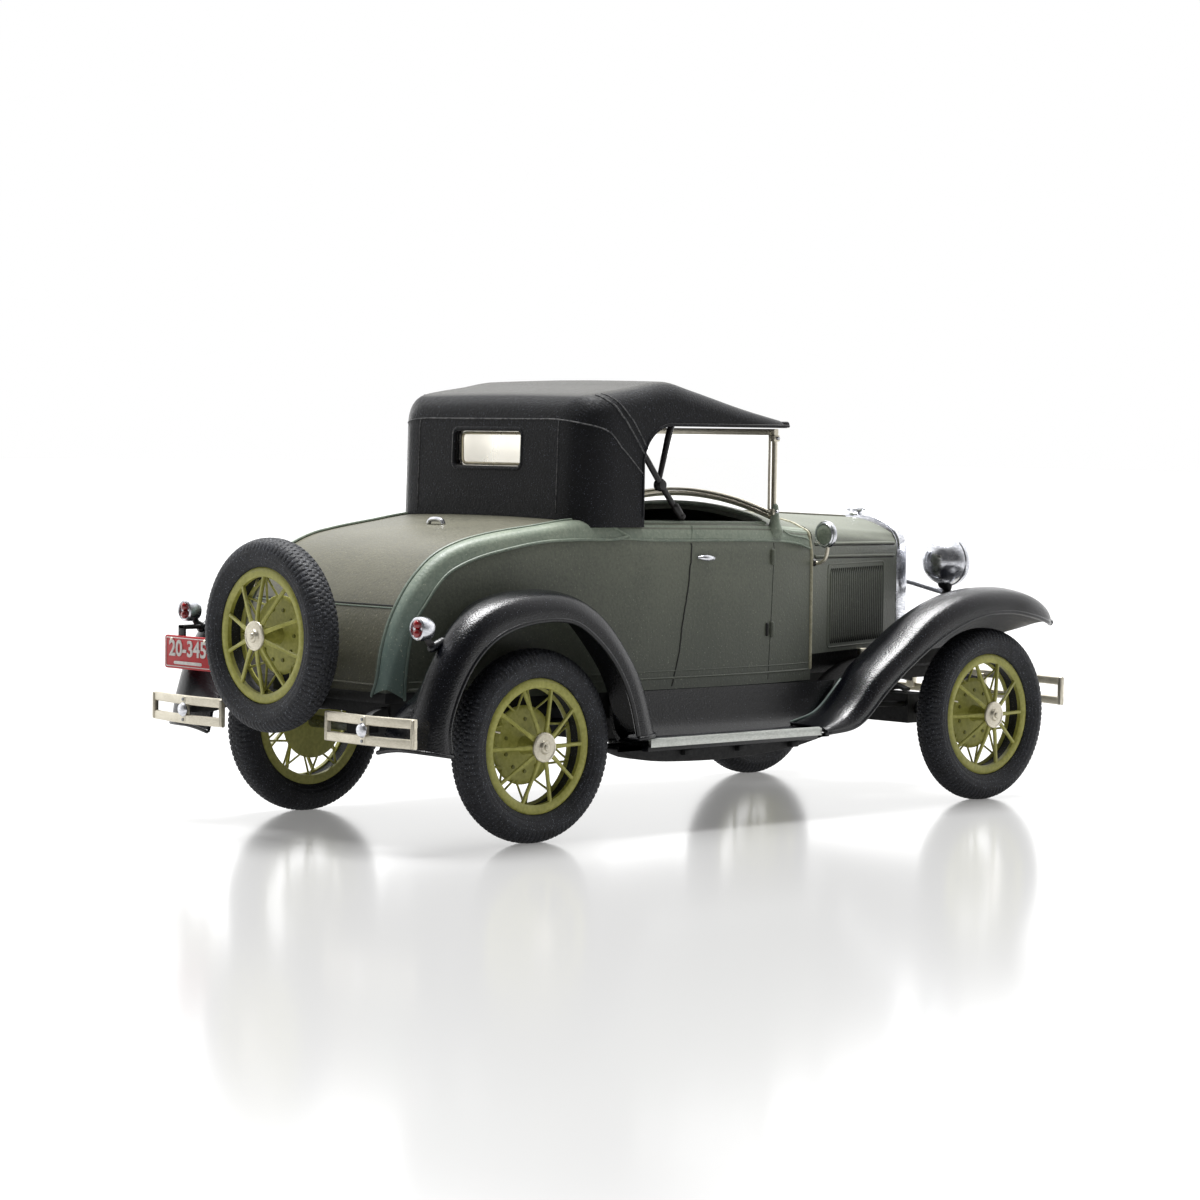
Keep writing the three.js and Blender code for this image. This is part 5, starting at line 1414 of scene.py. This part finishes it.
def make_chassis_detail():
    """Springs, exhaust pipe, silencer and rods under the base: none of them carries anything."""
    under = Piece("underside_detail", "chassis_black", stands_for=())
    for y in (FRONT_AXLE_Y, REAR_AXLE_Y):
        for leaf in range(4):
            reach = 8.2 - 1.5 * leaf
            path = [(x, y + 2.0, 12.0 - 0.36 * leaf - 1.3 * (x / 8.2) ** 2)
                    for x in np.linspace(-reach, reach, 15)]
            under.add(sweep(path, rounded((-0.5, 0.5), (-0.16, 0.16), 0.06, 2)))
    pipe = [(4.6, -20, 10.6), (4.7, -6, 10.4), (7.6, 2, 10.2), (7.8, 12, 10.2), (7.8, 30, 10.8),
            (8.2, 41.8, 11.2)]
    under.add(tube(spline(pipe, 60), 0.45, 10), "steel")
    silencer = [(0, -3.4), (0.6, -3.4), (1.0, -3.0), (1.05, 0), (1.0, 3.0), (0.6, 3.4), (0, 3.4)]
    under.add(lathe(silencer, 20, "y", (7.8, 14.5, 10.5)), "steel")
    for side in (-1, 1):
        for start, bend, end in ((-8, -24, FRONT_AXLE_Y + 1.8), (8, 22, REAR_AXLE_Y - 1.8)):
            rod = [(side * 1.2, start, 9.3), (side * 5.5, bend, 9.2), (side * 7.5, end, 9.2)]
            under.add(tube(spline(rod, 14), 0.3, 8))
    under.make()


make_chassis_detail()
make_splash_pans()

CARRIED_OVER = {
    "chassis_base": "base_black",
    "chassis_screw_front": "steel",
    "chassis_screw_rear": "steel",
    "front_axle_pin": "steel",
    "rear_axle_pin": "steel",
    "cabin_tub": "cabin_black",
}
for node, finish_name in CARRIED_OVER.items():
    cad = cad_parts[node]
    cad.data.materials.clear()
    cad.data.materials.append(MATERIALS[finish_name])


# ---------- floor, light and camera ----------
FLOOR_HALF = 3.0
BACKDROP_SIDE = (0.73, -0.68, 0.1)  # the lit backdrop stands on the far side of the car
ROOM_LIGHT, BACKDROP_LIGHT = 0.1, 1.5
SUN_STRENGTH, SUN_SPREAD, SUN_TILT = 6.0, math.radians(32), (math.radians(7), math.radians(7), 0)
EYE, TARGET, ROLL, LENS = (-239.0, 228.4, 36.5), (0, 7.154, 20.439), math.radians(0.721), 100.3


def make_floor():
    n = Nodes("floor_white")
    n.set(Base_Color=n.blend((0.3, 0.3, 0.3, 1), (0.32, 0.32, 0.32, 1), n.noise(400.0)))
    n.set(Roughness=0.14, IOR=1.24, Emission_Color=(1.0, 0.99, 0.975, 1), Emission_Strength=0.2)
    corners = [(x * FLOOR_HALF, y * FLOOR_HALF, 0) for x, y in ((-1, -1), (1, -1), (1, 1), (-1, 1))]
    mesh = bpy.data.meshes.new("floor")
    mesh.from_pydata(corners, [], [(0, 1, 2, 3)])
    mesh.materials.append(n.material)
    linked("floor", mesh)


def make_light():
    """A white surround, which sheds less on the car than it shows behind it, and soft light from above."""
    world = bpy.data.worlds.new("studio")
    world.use_nodes = True
    tree = world.node_tree
    new, link = tree.nodes.new, tree.links.new
    towards = new("ShaderNodeVectorMath")
    towards.operation = "DOT_PRODUCT"
    towards.inputs[1].default_value = BACKDROP_SIDE
    link(new("ShaderNodeTexCoord").outputs["Generated"], towards.inputs[0])
    shade = new("ShaderNodeMapRange")
    shade.interpolation_type = "SMOOTHSTEP"
    for socket, number in zip(shade.inputs[1:5], (-0.45, 0.5, ROOM_LIGHT, BACKDROP_LIGHT)):
        socket.default_value = number
    link(towards.outputs["Value"], shade.inputs["Value"])
    path = new("ShaderNodeLightPath")
    seen = new("ShaderNodeMath")
    seen.operation = "MAXIMUM"
    link(path.outputs["Is Camera Ray"], seen.inputs[0])
    link(path.outputs["Is Transmission Ray"], seen.inputs[1])
    strength = new("ShaderNodeMix")
    link(seen.outputs[0], strength.inputs[0])
    link(shade.outputs["Result"], strength.inputs[2])
    strength.inputs[3].default_value = 1.0
    link(strength.outputs[0], tree.nodes["Background"].inputs["Strength"])
    tree.nodes["Background"].inputs["Color"].default_value = (1, 1, 1, 1)
    bpy.context.scene.world = world
    data = bpy.data.lights.new("overhead", "SUN")
    data.energy, data.angle = SUN_STRENGTH, SUN_SPREAD
    linked("overhead", data).rotation_euler = SUN_TILT


def make_camera():
    eye, target = (Vector(p) for p in place([EYE, TARGET]))
    back = (eye - target).normalized()
    right = Vector((0, 0, 1)).cross(back).normalized()
    up = back.cross(right)
    tilted = right * math.cos(ROLL) + up * math.sin(ROLL)
    above = up * math.cos(ROLL) - right * math.sin(ROLL)
    data = bpy.data.cameras.new("camera")
    data.sensor_width, data.lens = 36.0, LENS
    data.clip_start, data.clip_end = 0.01, 20.0
    camera = linked("camera", data)
    camera.matrix_world = Matrix.Translation(eye) @ Matrix((tilted, above, back)).transposed().to_4x4()
    bpy.context.scene.camera = camera


make_floor()
make_light()
make_camera()
bpy.context.scene.view_settings.view_transform = "Standard"
